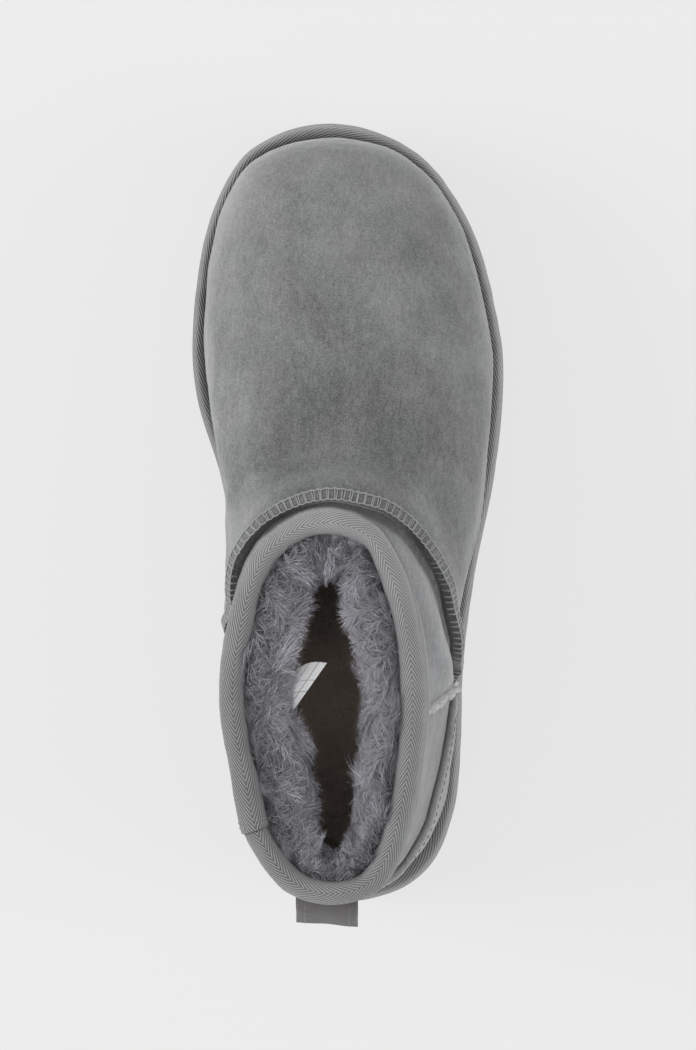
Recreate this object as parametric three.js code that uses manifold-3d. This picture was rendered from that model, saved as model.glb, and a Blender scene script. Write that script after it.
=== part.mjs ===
// Low sheepskin boot, right foot, on a tape-wrapped platform sole.
// Millimetres. Toe towards -Y, medial (big toe) side towards +X, floor at z = 0.
import * as THREE from 'three';
import Module from 'manifold-3d';
import { mergeVertices } from 'three/addons/utils/BufferGeometryUtils.js';

const wasm = await Module();
wasm.setup();

// ---- Driving dimensions -------------------------------------------------------------
const TOE = { x: 6.5, y: -139.7, lip: 5.6 }; // foremost and rearmost points of the sole tape
const HEEL = { x: 0, y: 139.7, lip: 9.4 };
const STACK_FOREFOOT = 36; // sole height under the ball and under the heel
const STACK_HEEL = 45;
const RIM_HEIGHT = 133; // top of the sheepskin wall at the front of the collar
const RIM_BACK_RISE = 3; // how much higher the wall is at the heel
const RIM_SIDE_DIP = 2; // how much the rim dips at the ankles
const WALL_FEATHER = 8; // wall with its wool, at the sole and at the collar
const WALL_COLLAR = 13.5;
const GAP = 0.3; // clearance where two pieces meet
const RING = 72; // steps round every ring

// Sole tape, outer face: a row per cross-section from toe to heel. `lip` is how far the tape
// turns in over the sole's edge before it meets the upper.
const TAPE_SECTIONS = [
  { y: -131, medial: 34.6, lateral: 22.4, lip: 4.8 },
  { y: -118, medial: 44.6, lateral: 35.8, lip: 4.5 },
  { y: -96, medial: 52.5, lateral: 47.5, lip: 4.8 },
  { y: -62, medial: 56.2, lateral: 55.4, lip: 5.4 },
  { y: -40, medial: 54.2, lateral: 55.8, lip: 5.8 },
  { y: -12, medial: 45.6, lateral: 52.6, lip: 6 },
  { y: 20, medial: 39.6, lateral: 46.1, lip: 6 },
  { y: 52, medial: 38.2, lateral: 41.7, lip: 5.4 },
  { y: 82, medial: 39.4, lateral: 40.7, lip: 5.8 },
  { y: 106, medial: 37.6, lateral: 38.3, lip: 7.4 },
  { y: 123.8, medial: 30.6, lateral: 31.7, lip: 9 },
  { y: 134, medial: 20.4, lateral: 21.4, lip: 9.4 },
];

// Collar, outer edge of its binding: a row per cross-section from front to back.
const COLLAR_FRONT = { x: 7.5, y: -0.6 };
const COLLAR_BACK = { x: 5.5, y: 131 };
const COLLAR_SECTIONS = [
  { y: 5, medial: 23.5, lateral: 9.6 },
  { y: 14, medial: 32.1, lateral: 16 },
  { y: 35, medial: 39.4, lateral: 23.1 },
  { y: 63, medial: 42.7, lateral: 25.9 },
  { y: 90, medial: 38.4, lateral: 23.6 },
  { y: 107, medial: 34.6, lateral: 19.9 },
  { y: 118, medial: 28.4, lateral: 16 },
  { y: 127, medial: 19.6, lateral: 9 },
];

// How the upper's skin rises from the sole to the collar, round the foot from the toe: it
// leaves the sole over `rise` with `bulge` outwards (inwards if negative), and reaches the
// rim from a point `drop` below it and `setout` outside it.
const SKIN_MEDIAL = [
  { degrees: 0, rise: 56, bulge: 8, setout: 27, drop: 55 },
  { degrees: 38, rise: 52, bulge: 8, setout: 19, drop: 50 },
  { degrees: 56, rise: 46, bulge: 6, setout: 4, drop: 46 },
  { degrees: 66, rise: 41, bulge: 2.5, setout: -2, drop: 42 },
  { degrees: 78, rise: 36, bulge: -4, setout: 2, drop: 38 },
  { degrees: 95, rise: 33, bulge: 0, setout: 1, drop: 36 },
  { degrees: 125, rise: 30, bulge: 4, setout: 1, drop: 34 },
  { degrees: 180, rise: 32, bulge: 3, setout: 1, drop: 34 },
];
const SKIN_LATERAL = [
  { degrees: 28, rise: 53, bulge: 11, setout: 24, drop: 53 },
  { degrees: 50, rise: 49, bulge: 9, setout: 19, drop: 50 },
  { degrees: 80, rise: 40, bulge: 6.5, setout: 12, drop: 46 },
  { degrees: 118, rise: 32, bulge: 4, setout: 5.5, drop: 38 },
  { degrees: 152, rise: 31, bulge: 1.5, setout: 2, drop: 35 },
];

// Sole edge and tape, measured inwards from the tape's outer face and up from the sole.
const TAPE = { wall: 2.3, shoulder: 3, crown: 2.2, round: 1.6 };
const OUTSOLE = { flange: 8.5, bevel: 3, toeSpring: 9, arch: 2.6, heelBevel: 1.2 };
const FOREFOOT_FLAT = { from: -92, to: -24 }; // stretches of the sole that lie on the floor
const HEEL_FLAT = { from: 56, to: 124 };
const GROOVE = { width: 3.6, depth: 2.6, pitch: 11.5, skew: 7 };
const INSOLE = { thickness: 5, inset: 0.5 };
const BINDING = { skin: 1.5, width: 8.2, height: 7.4, skirt: 6.5, frontSkirt: 1.5 };
const COUNTER = { from: 118, to: 242, lean: 0.12, thickness: 2, foot: 3, side: 23, back: 55 };
const PULL_TAB = { x: 7, width: 20.5, thickness: 3.4, drop: 17, reach: 7.6, slant: -5 };

const { smoothstep, lerp, degToRad } = THREE.MathUtils;
const TURN = 2 * Math.PI;

// ---- Curves and rings ---------------------------------------------------------------

// Smooth curve through [position, value] knots that repeats after `period`.
function curveThrough(knots, period) {
  const count = knots.length;
  const knot = (i) => {
    const turns = Math.floor(i / count);
    const [at, value] = knots[i - turns * count];
    return [at + turns * period, value];
  };
  const slope = (i) => {
    const [before, low] = knot(i - 1);
    const [after, high] = knot(i + 1);
    return (high - low) / (after - before);
  };
  return (position) => {
    const at = position - Math.floor(position / period) * period;
    const next = knots.findIndex(([start]) => start > at);
    const i = (next < 0 ? count : next) - 1;
    const [start, value] = knot(i);
    const [end, valueEnd] = knot(i + 1);
    const span = end - start;
    const u = (at - start) / span;
    const bend = (1 - u) * slope(i) * span - u * slope(i + 1) * span;
    const straight = lerp(value, valueEnd, u * u * (3 - 2 * u));
    return straight + u * (1 - u) * bend;
  };
}

// A column of a table of cross-sections, as a curve round the foot from the toe.
function columnCurve(front, back, sections, column) {
  const half = (back.y - front.y) / 2;
  const angleOf = (row) => Math.acos((front.y + half - row.y) / half);
  const medial = sections.map((row) => [angleOf(row), column(row, 1)]);
  const lateral = sections.map((row) => [TURN - angleOf(row), column(row, -1)]);
  const start = [0, column(front, 0)];
  const far = [Math.PI, column(back, 0)];
  return curveThrough([start, ...medial, far, ...lateral.reverse()], TURN);
}

// Closed outline from such a table, run from the toe round the medial side.
function outlineFrom(front, back, sections) {
  const middle = (front.y + back.y) / 2;
  const half = (back.y - front.y) / 2;
  const across = (row, side) => (side ? (side > 0 ? row.medial : -row.lateral) : row.x);
  const x = columnCurve(front, back, sections, across);
  return (angle) => new THREE.Vector2(x(angle), middle - half * Math.cos(angle));
}

function outwardOf(outline, angle) {
  const step = 1e-3;
  const along = outline(angle + step).sub(outline(angle - step));
  return new THREE.Vector2(along.y, -along.x).normalize();
}

function insetPoint(outline, angle, distance) {
  return outline(angle).addScaledVector(outwardOf(outline, angle), -distance);
}

const lift = (point, z) => new THREE.Vector3(point.x, point.y, z);

function ring(pointAt, steps = RING) {
  return Array.from({ length: steps }, (_, i) => pointAt((i / steps) * TURN));
}

function geometryOf(points, triangles) {
  const geometry = new THREE.BufferGeometry();
  const position = new Float32Array(points.flatMap((p) => [p.x, p.y, p.z]));
  geometry.setAttribute('position', new THREE.BufferAttribute(position, 3));
  geometry.setIndex(triangles);
  return geometry;
}

// Two triangles for every cell between one ring and the next one.
function wallBetween(count, lower, upper) {
  const triangles = [];
  for (let i = 0; i < count; i++) {
    const j = (i + 1) % count;
    triangles.push(lower + i, lower + j, upper + j, lower + i, upper + j, upper + i);
  }
  return triangles;
}

// A hollow ring: its cross-section is itself a closed loop of rings.
function hollowBody(rings) {
  const count = rings[0].length;
  const triangles = rings.flatMap((_, k) =>
    wallBetween(count, k * count, ((k + 1) % rings.length) * count),
  );
  return geometryOf(rings.flat(), triangles);
}

// Faces across a ring, from each medial point to the lateral one opposite.
function capAcross(count, first, faceUp) {
  const triangles = [];
  const face = (a, b, c) => triangles.push(...(faceUp ? [a, b, c] : [a, c, b]));
  const at = (i) => first + ((i + count) % count);
  for (let k = 0; k < count / 2; k++) {
    if (k > 0) face(at(-k), at(k), at(k + 1));
    if (k < count / 2 - 1) face(at(-k), at(k + 1), at(-k - 1));
  }
  return triangles;
}

// A filled body: stacked rings, closed across the bottom one and the top one.
function filledBody(rings) {
  const count = rings[0].length;
  const top = (rings.length - 1) * count;
  const triangles = [...capAcross(count, 0, false), ...capAcross(count, top, true)];
  for (let k = 0; k < rings.length - 1; k++) {
    triangles.push(...wallBetween(count, k * count, (k + 1) * count));
  }
  return geometryOf(rings.flat(), triangles);
}

function toSolid(geometry) {
  const bare = geometry.clone();
  bare.deleteAttribute('normal');
  bare.deleteAttribute('uv');
  const merged = mergeVertices(bare, 1e-4);
  const vertProperties = new Float32Array(merged.attributes.position.array);
  const triVerts = new Uint32Array(merged.index.array);
  return new wasm.Manifold(new wasm.Mesh({ numProp: 3, vertProperties, triVerts }));
}

function fromSolid(solid) {
  const { vertProperties, triVerts } = solid.getMesh();
  const geometry = new THREE.BufferGeometry();
  geometry.setAttribute('position', new THREE.BufferAttribute(vertProperties, 3));
  geometry.setIndex(new THREE.BufferAttribute(triVerts, 1));
  return geometry;
}

// ---- Sole ---------------------------------------------------------------------------

const tapeOutline = outlineFrom(TOE, HEEL, TAPE_SECTIONS);
const toeward = (y) => Math.max(0, (FOREFOOT_FLAT.from - y) / (FOREFOOT_FLAT.from - TOE.y));

function soleBottom(y) {
  const waist = (y - FOREFOOT_FLAT.to) / (HEEL_FLAT.from - FOREFOOT_FLAT.to);
  const arch = waist > 0 && waist < 1 ? OUTSOLE.arch * Math.sin(Math.PI * waist) ** 2 : 0;
  const behind = Math.max(0, (y - HEEL_FLAT.to) / (HEEL.y - HEEL_FLAT.to));
  return OUTSOLE.toeSpring * toeward(y) ** 1.7 + arch + OUTSOLE.heelBevel * behind ** 2;
}

function soleTop(y) {
  const pitch = smoothstep(y, -70, 95);
  return lerp(STACK_FOREFOOT, STACK_HEEL, pitch) + 0.7 * OUTSOLE.toeSpring * toeward(y) ** 2;
}

// A ring at a distance inside the tape's face, at a height worked out from its y.
function soleRing(inset, heightAt) {
  return ring((angle) => {
    const distance = typeof inset === 'function' ? inset(angle) : inset;
    const point = insetPoint(tapeOutline, angle, distance);
    return lift(point, heightAt(point.y));
  });
}

function treadGrooves() {
  const grooves = [];
  const stretches = [
    { from: FOREFOOT_FLAT.from - 20, to: FOREFOOT_FLAT.to - 4 },
    { from: HEEL_FLAT.from + 6, to: HEEL_FLAT.to - 2 },
  ];
  for (const { from, to } of stretches) {
    for (let y = from; y <= to; y += GROOVE.pitch) {
      const box = new THREE.BoxGeometry(140, GROOVE.width, 2 * GROOVE.depth);
      box.rotateZ(degToRad(GROOVE.skew));
      box.translate(0, y, soleBottom(y));
      grooves.push(toSolid(box));
    }
  }
  return grooves;
}

function makeSole() {
  const side = TAPE.wall + GAP;
  const body = filledBody([
    soleRing(OUTSOLE.bevel, soleBottom),
    soleRing(GAP, (y) => soleBottom(y) + OUTSOLE.bevel),
    soleRing(GAP, (y) => soleBottom(y) + OUTSOLE.flange),
    soleRing(side, (y) => soleBottom(y) + OUTSOLE.flange),
    soleRing(side, (y) => soleTop(y) - TAPE.shoulder),
    soleRing(side + TAPE.shoulder, soleTop),
  ]);
  const cut = treadGrooves().reduce((solid, groove) => solid.subtract(groove), toSolid(body));
  return fromSolid(cut);
}

// Width of the tape's lip over the sole edge.
const lipWidth = columnCurve(TOE, HEEL, TAPE_SECTIONS, (row) => row.lip);

// The tape stands round the sole edge and turns in over its top as far as the upper.
function makeSoleTape() {
  const { wall, shoulder, crown, round } = TAPE;
  const lower = (y) => soleBottom(y) + OUTSOLE.flange + GAP;
  const raised = (height) => (y) => soleTop(y) + height;
  const chamfer = (angle) => Math.min(wall + shoulder, lipWidth(angle) - 0.8) + 0.1;
  return hollowBody([
    soleRing(wall, lower),
    soleRing(0.4, lower),
    soleRing(0, (y) => lerp(lower(y), soleTop(y), 0.5)),
    soleRing(0, raised(-shoulder)),
    soleRing(0.6 * round, raised(0.2)),
    soleRing(round, raised(0.7 * crown)),
    soleRing((angle) => lipWidth(angle) - 1.2, raised(crown)),
    soleRing(lipWidth, raised(crown - 1)),
    soleRing((angle) => lipWidth(angle) - 0.2, raised(GAP)),
    soleRing(chamfer, raised(GAP)),
    soleRing(wall, raised(GAP - shoulder)),
  ]);
}

// ---- Upper --------------------------------------------------------------------------

const collarOutline = outlineFrom(COLLAR_FRONT, COLLAR_BACK, COLLAR_SECTIONS);

function skinShape(column) {
  const medial = SKIN_MEDIAL.map((row) => [degToRad(row.degrees), row[column]]);
  const lateral = SKIN_LATERAL.map((row) => [TURN - degToRad(row.degrees), row[column]]);
  return curveThrough([...medial, ...lateral.reverse()], TURN);
}
const skin = {
  rise: skinShape('rise'),
  bulge: skinShape('bulge'),
  setout: skinShape('setout'),
  drop: skinShape('drop'),
};

function rimHeight(angle) {
  const backward = (1 - Math.cos(angle)) / 2;
  return RIM_HEIGHT + RIM_BACK_RISE * backward - RIM_SIDE_DIP * Math.sin(angle) ** 2;
}

function featherPoint(angle) {
  const point = insetPoint(tapeOutline, angle, lipWidth(angle) + 2 * GAP);
  return lift(point, soleTop(point.y) + GAP);
}

function rimPoint(angle) {
  const point = insetPoint(collarOutline, angle, BINDING.skin + GAP);
  return lift(point, rimHeight(angle));
}

// The upper's outer skin: round the foot by angle, from the sole (0) to the rim (1).
function skinPoint(angle, t) {
  const foot = featherPoint(angle);
  const rim = rimPoint(angle);
  const footOut = outwardOf(tapeOutline, angle);
  const rimOut = outwardOf(collarOutline, angle);
  const above = foot.clone().addScaledVector(lift(footOut, 0), skin.bulge(angle));
  above.z += skin.rise(angle);
  const below = rim.clone().addScaledVector(lift(rimOut, 0), skin.setout(angle));
  below.z -= skin.drop(angle);
  return new THREE.CubicBezierCurve3(foot, above, below, rim).getPoint(t);
}

function skinNormal(angle, t) {
  const step = 1e-3;
  const round = skinPoint(angle + step, t).sub(skinPoint(angle - step, t));
  const from = Math.max(0, t - step);
  const to = Math.min(1, t + step);
  const up = skinPoint(angle, to).sub(skinPoint(angle, from));
  return round.cross(up).normalize();
}

// A point off the skin: outwards for a positive distance, into the wall for a negative one.
const offSkin = (angle, t, distance) =>
  skinPoint(angle, t).addScaledVector(skinNormal(angle, t), distance);

// How far along the skin it has climbed to a height, measured up from the sole.
function climbTo(angle, height) {
  let low = 0;
  let high = 1;
  for (let halving = 0; halving < 20; halving++) {
    const middle = (low + high) / 2;
    if (skinPoint(angle, middle).z - featherPoint(angle).z > height) high = middle;
    else low = middle;
  }
  return low;
}

const wallAt = (t) => lerp(WALL_FEATHER, WALL_COLLAR, smoothstep(t, 0, 0.9));

function liningPoint(angle, t) {
  if (t === 0) {
    const foot = featherPoint(angle);
    const out = lift(outwardOf(tapeOutline, angle), 0);
    const inner = foot.addScaledVector(out, -WALL_FEATHER);
    return inner.setZ(soleTop(inner.y) + GAP);
  }
  if (t === 1) {
    const out = lift(outwardOf(collarOutline, angle), 0);
    return rimPoint(angle).addScaledVector(out, -WALL_COLLAR);
  }
  return offSkin(angle, t, -wallAt(t));
}

function makeUpper() {
  const outerSteps = 15;
  const innerSteps = 10;
  const rings = [];
  for (let k = 0; k <= outerSteps; k++) {
    rings.push(ring((angle) => skinPoint(angle, k / outerSteps)));
  }
  for (let k = innerSteps; k >= 0; k--) {
    rings.push(ring((angle) => liningPoint(angle, k / innerSteps)));
  }
  return hollowBody(rings);
}

function makeInsole() {
  const edge = (drawIn, height) =>
    ring((angle) => {
      const out = lift(outwardOf(tapeOutline, angle), 0);
      const point = liningPoint(angle, 0).addScaledVector(out, -drawIn);
      return point.setZ(soleTop(point.y) + GAP + height);
    });
  const { inset, thickness } = INSOLE;
  return filledBody([edge(inset, 0), edge(inset, thickness - 1.5), edge(inset + 2, thickness)]);
}

// ---- Collar binding, heel counter and pull tab ----------------------------------------

// Folded tape over the rim: a skirt down the outside that is shorter over the instep, a
// padded crown, and its inner edge in the wool.
function makeBinding() {
  const { skin: proud, width, height, skirt, frontSkirt } = BINDING;
  const offRim = (out, up) => (angle) => {
    const direction = lift(outwardOf(collarOutline, angle), 0);
    const point = rimPoint(angle).addScaledVector(direction, out);
    return point.setZ(point.z + up);
  };
  const offSkirt = (out) => (angle) => {
    const reach = lerp(skirt, frontSkirt, smoothstep(Math.cos(angle), -0.1, 0.9));
    const height = rimHeight(angle) - featherPoint(angle).z - reach;
    return offSkin(angle, climbTo(angle, height), out);
  };
  const inner = proud + GAP - width;
  const section = [
    offSkirt(proud + GAP),
    offRim(proud + GAP, 0),
    offRim(0.7 * proud, 0.65 * height),
    offRim(-0.2 * width, height),
    offRim(-0.5 * width, 0.92 * height),
    offRim(inner, 0.5 * height),
    offRim(inner, GAP),
    offRim(1.3 * GAP, GAP),
    offSkirt(1.3 * GAP),
  ];
  return hollowBody(section.map((pointAt) => ring(pointAt)));
}

// The counter lies between two forms of the upper's skin, one just outside the other. Its
// front edges follow the side seams, which lean forwards against the skin's own lines.
function makeCounter() {
  const { from, to, lean, thickness, foot, side, back } = COUNTER;
  const acrossSteps = 32;
  const upSteps = 8;
  const sheet = (distance) => {
    const points = [];
    for (let i = 0; i <= acrossSteps; i++) {
      const across = i / acrossSteps;
      const top = lerp(side, back, Math.sin(Math.PI * across) ** 0.8);
      for (let k = 0; k <= upSteps; k++) {
        const height = lerp(foot, top, k / upSteps);
        const angle = degToRad(lerp(from - lean * height, to + lean * height, across));
        points.push(offSkin(angle, climbTo(angle, height), distance));
      }
    }
    return points;
  };
  const points = [...sheet(GAP + thickness), ...sheet(GAP + 0.1)];
  const row = upSteps + 1;
  const inside = (acrossSteps + 1) * row;
  const triangles = [];
  const quad = (a, b, c, d) => triangles.push(a, b, c, a, c, d);
  for (let i = 0; i < acrossSteps; i++) {
    const here = i * row;
    const next = here + row;
    for (let k = 0; k < upSteps; k++) {
      quad(here + k, next + k, next + k + 1, here + k + 1);
      quad(inside + here + k, inside + here + k + 1, inside + next + k + 1, inside + next + k);
    }
    quad(inside + here, inside + next, next, here);
    quad(here + upSteps, next + upSteps, inside + next + upSteps, inside + here + upSteps);
  }
  const last = acrossSteps * row;
  for (let k = 0; k < upSteps; k++) {
    quad(k, k + 1, inside + k + 1, inside + k);
    quad(last + k, inside + last + k, inside + last + k + 1, last + k + 1);
  }
  return geometryOf(points, triangles);
}

// A strip of tape folded once, caught under the binding at the back and drooping outwards.
function makePullTab() {
  const { x, width, thickness, drop, reach, slant } = PULL_TAB;
  const top = rimHeight(Math.PI) + 1;
  const profile = new THREE.Shape();
  profile.moveTo(0, top);
  profile.quadraticCurveTo(0.7 * reach, top, reach, top - drop);
  profile.lineTo(reach - thickness, top - drop);
  profile.quadraticCurveTo(0.4 * reach, top - thickness, 0, top - thickness);
  const settings = { depth: width, bevelEnabled: false, curveSegments: 6 };
  const strip = new THREE.ExtrudeGeometry(profile, settings);
  strip.translate(0, 0, -width / 2);
  strip.rotateX(Math.PI / 2);
  strip.rotateZ(Math.PI / 2);
  strip.rotateZ(degToRad(slant));
  strip.translate(x, COLLAR_BACK.y + GAP, 0);
  return strip;
}

// ---- Assembly -----------------------------------------------------------------------

const finish = (color, roughness) =>
  new THREE.MeshStandardMaterial({ color, roughness, metalness: 0 });

const pieces = {
  sole: [makeSole(), finish('#6a6b6c', 0.7)],
  sole_tape: [makeSoleTape(), finish('#7c7d7f', 0.85)],
  upper: [makeUpper(), finish('#7d7f81', 0.95)],
  insole: [makeInsole(), finish('#332a26', 0.95)],
  collar_binding: [makeBinding(), finish('#838486', 0.85)],
  heel_counter: [makeCounter(), finish('#8a8b8d', 0.95)],
  pull_tab: [makePullTab(), finish('#676566', 0.85)],
};

const boot = new THREE.Group();
for (const [name, [geometry, material]] of Object.entries(pieces)) {
  const mesh = new THREE.Mesh(geometry, material);
  mesh.name = name;
  boot.add(mesh);
}

export default boot;
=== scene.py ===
import math
from collections import namedtuple
from functools import partial

import bpy
import numpy as np
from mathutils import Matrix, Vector


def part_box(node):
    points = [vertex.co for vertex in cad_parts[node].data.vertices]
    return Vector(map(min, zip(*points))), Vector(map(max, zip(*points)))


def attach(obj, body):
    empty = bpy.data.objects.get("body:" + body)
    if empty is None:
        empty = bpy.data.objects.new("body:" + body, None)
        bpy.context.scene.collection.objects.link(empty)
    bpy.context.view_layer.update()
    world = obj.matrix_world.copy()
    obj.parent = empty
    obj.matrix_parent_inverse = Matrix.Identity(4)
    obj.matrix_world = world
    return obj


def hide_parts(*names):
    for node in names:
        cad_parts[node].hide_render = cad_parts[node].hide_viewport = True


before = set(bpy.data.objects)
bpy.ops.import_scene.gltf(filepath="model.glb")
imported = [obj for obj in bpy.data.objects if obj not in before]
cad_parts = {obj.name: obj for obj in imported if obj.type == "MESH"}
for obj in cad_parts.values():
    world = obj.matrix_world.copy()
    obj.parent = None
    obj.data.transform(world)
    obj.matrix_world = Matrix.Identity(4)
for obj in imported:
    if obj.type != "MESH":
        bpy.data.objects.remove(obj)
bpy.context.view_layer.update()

# ---- Camera -------------------------------------------------------------------------
# The boot is looked at from straight above on a copy stand, toe at the top of the frame,
# from far enough away that the collar is only a little larger than the sole.
CAMERA_HEIGHT = 1.3
FLOOR_IN_FRAME = 0.39  # how much floor the long side of the frame takes in
CAMERA_BACK = 0.0047  # the stand's column is this far behind the middle of the sole

camera_data = bpy.data.cameras.new("camera")
camera_data.sensor_width = 36
camera_data.lens = camera_data.sensor_width * CAMERA_HEIGHT / FLOOR_IN_FRAME
camera = bpy.data.objects.new("camera", camera_data)
camera.location = (0, CAMERA_BACK, CAMERA_HEIGHT)
camera.rotation_euler = (0, 0, math.pi)
bpy.context.scene.collection.objects.link(camera)
bpy.context.scene.camera = camera

# ---- Sole ---------------------------------------------------------------------------
# One light moulded foam platform with a thicker edge at the bottom, where it meets the
# floor, and rounded cross lugs under the ball and the heel. The tape is glued round it.
MM = 0.001  # shapes are worked out in millimetres and handed over in metres
TURN = 2 * math.pi
GAP = 0.3
tape_low, tape_high = (np.array(corner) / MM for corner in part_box("sole_tape"))
Section = namedtuple("Section", "y medial lateral lip")
TAPE_SECTIONS = [
    Section(-131, 34.6, 22.4, 4.8),
    Section(-118, 44.6, 35.8, 4.5),
    Section(-96, 52.5, 47.5, 4.8),
    Section(-62, 56.2, 55.4, 5.4),
    Section(-40, 54.2, 55.8, 5.8),
    Section(-12, 45.6, 52.6, 6.0),
    Section(20, 39.6, 46.1, 6.0),
    Section(52, 38.2, 41.7, 5.4),
    Section(82, 39.4, 40.7, 5.8),
    Section(106, 37.6, 38.3, 7.4),
    Section(123.8, 30.6, 31.7, 9.0),
    Section(134, 20.4, 21.4, 9.4),
]
TOE = Section(tape_low[1], 6.5, -6.5, 5.6)
HEEL = Section(tape_high[1], 0, 0, 9.4)
STACK_FOREFOOT, STACK_HEEL = 36, 45
FOREFOOT_FLAT, HEEL_FLAT = (-92, -24), (56, 124)
TOE_SPRING, ARCH, HEEL_BEVEL = 9, 2.6, 1.2
FLANGE, SOLE_BEVEL, TAPE_WALL, SHOULDER = 8.5, 3, 2.3, 3


def curve_through(knots, period=TURN):
    """Smooth curve through (position, value) knots that repeats after a period."""
    at, value = np.array(knots, float).T
    before, after = np.roll(at, 1), np.roll(at, -1)
    before[0] -= period
    after[-1] += period
    slope = (np.roll(value, -1) - np.roll(value, 1)) / (after - before)

    def curve(position):
        place = np.mod(position, period)
        i = np.searchsorted(at, place, side="right") - 1
        j = (i + 1) % len(at)
        span = after[i] - at[i]
        u = (place - at[i]) / span
        bend = (1 - u) * slope[i] * span - u * slope[j] * span
        return value[i] + (value[j] - value[i]) * u * u * (3 - 2 * u) + u * (1 - u) * bend

    return curve


def column_curve(front, back, sections, column):
    """A column of a table of cross-sections, as a curve round the foot from the toe."""
    half = (back.y - front.y) / 2
    angles = [math.acos((front.y + half - row.y) / half) for row in sections]
    medial = [(angle, column(row, 1)) for angle, row in zip(angles, sections)]
    lateral = [(TURN - angle, column(row, -1)) for angle, row in zip(angles, sections)]
    toe, heel = (0, column(front, 1)), (math.pi, column(back, 1))
    return curve_through([toe, *medial, heel, *reversed(lateral)])


def outline_from(front, back, sections):
    middle, half = (front.y + back.y) / 2, (back.y - front.y) / 2
    across = lambda row, side: row.medial if side > 0 else -row.lateral
    x = column_curve(front, back, sections, across)
    return lambda angle: np.stack([x(angle), middle - half * np.cos(angle)], -1)


def unit(vectors):
    return vectors / np.linalg.norm(vectors, axis=-1, keepdims=True)


def outward_of(outline, angle):
    step = 1e-3
    along = outline(angle + step) - outline(angle - step)
    return unit(np.stack([along[..., 1], -along[..., 0]], -1))


def inset(outline, angle, distance):
    return outline(angle) - outward_of(outline, angle) * np.asarray(distance)[..., None]


def lift(flat, height):
    height = np.broadcast_to(height, flat.shape[:-1])
    return np.concatenate([flat, height[..., None]], -1)


def smoothstep(value, low, high):
    u = np.clip((value - low) / (high - low), 0, 1)
    return u * u * (3 - 2 * u)


def toeward(y):
    return np.maximum(0, (FOREFOOT_FLAT[0] - y) / (FOREFOOT_FLAT[0] - TOE.y))


def sole_bottom(y):
    waist = np.clip((y - FOREFOOT_FLAT[1]) / (HEEL_FLAT[0] - FOREFOOT_FLAT[1]), 0, 1)
    behind = np.maximum(0, (y - HEEL_FLAT[1]) / (HEEL.y - HEEL_FLAT[1]))
    arch = ARCH * np.sin(math.pi * waist) ** 2
    return TOE_SPRING * toeward(y) ** 1.7 + arch + HEEL_BEVEL * behind**2


def sole_top(y):
    pitch = smoothstep(y, -70, 95)
    stack = STACK_FOREFOOT + (STACK_HEEL - STACK_FOREFOOT) * pitch
    return stack + 0.7 * TOE_SPRING * toeward(y) ** 2


tape_outline = outline_from(TOE, HEEL, TAPE_SECTIONS)
lip_width = column_curve(TOE, HEEL, TAPE_SECTIONS, lambda row, side: row.lip)


def round_angles(count):
    return np.arange(count) * TURN / count


def lattice(rows, columns, wrap_rows=False, wrap_columns=False):
    """Quads over a grid of points, with each corner's own row and column."""
    row, column = np.meshgrid(
        np.arange(rows if wrap_rows else rows - 1),
        np.arange(columns if wrap_columns else columns - 1),
        indexing="ij",
    )
    steps = [(0, 0), (1, 0), (1, 1), (0, 1)]
    corners = [np.stack([row + down, column + over], -1) for down, over in steps]
    corners = np.stack(corners, 2).reshape(-1, 4, 2)
    faces = (corners[..., 0] % rows) * columns + corners[..., 1] % columns
    return faces, corners


def cap_across(count, first, face_up):
    """Faces across a ring, from each medial point to the lateral one opposite."""
    half = count // 2
    k = np.arange(1, half - 1)
    quads = np.stack([(-k) % count, k, k + 1, (-k - 1) % count], -1)
    ends = np.array([[0, 1, count - 1, count - 1], [half - 1, half, half + 1, half + 1]])
    faces = np.concatenate([quads, ends]) + first
    return faces if face_up else faces[:, ::-1]


def make_mesh(name, points, faces, finish, corners=None, pattern=None, **measures):
    """A mesh object from points in millimetres and quads. `pattern` gives each grid point
    its place on the cloth, and `measures` a number per point that the finish reads."""
    points = np.asarray(points, float).reshape(-1, 3)
    polygons = [[v for i, v in enumerate(f) if v != f[i - 1]] for f in faces.tolist()]
    mesh = bpy.data.meshes.new(name)
    mesh.from_pydata((points * MM).tolist(), [], polygons)
    mesh.polygons.foreach_set("use_smooth", np.ones(len(mesh.polygons), bool))
    if pattern is not None:
        placed = pattern[corners[..., 0], corners[..., 1]].reshape(-1, 2)
        layer = mesh.uv_layers.new(name="cloth")
        layer.data.foreach_set("uv", (placed * MM).astype(np.float32).ravel())
    for measure, values in measures.items():
        layer = mesh.attributes.new(measure, "FLOAT", "POINT")
        layer.data.foreach_set("value", np.asarray(values, np.float32).ravel())
    mesh.materials.append(finish)
    piece = bpy.data.objects.new(name, mesh)
    bpy.context.scene.collection.objects.link(piece)
    return piece


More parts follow.
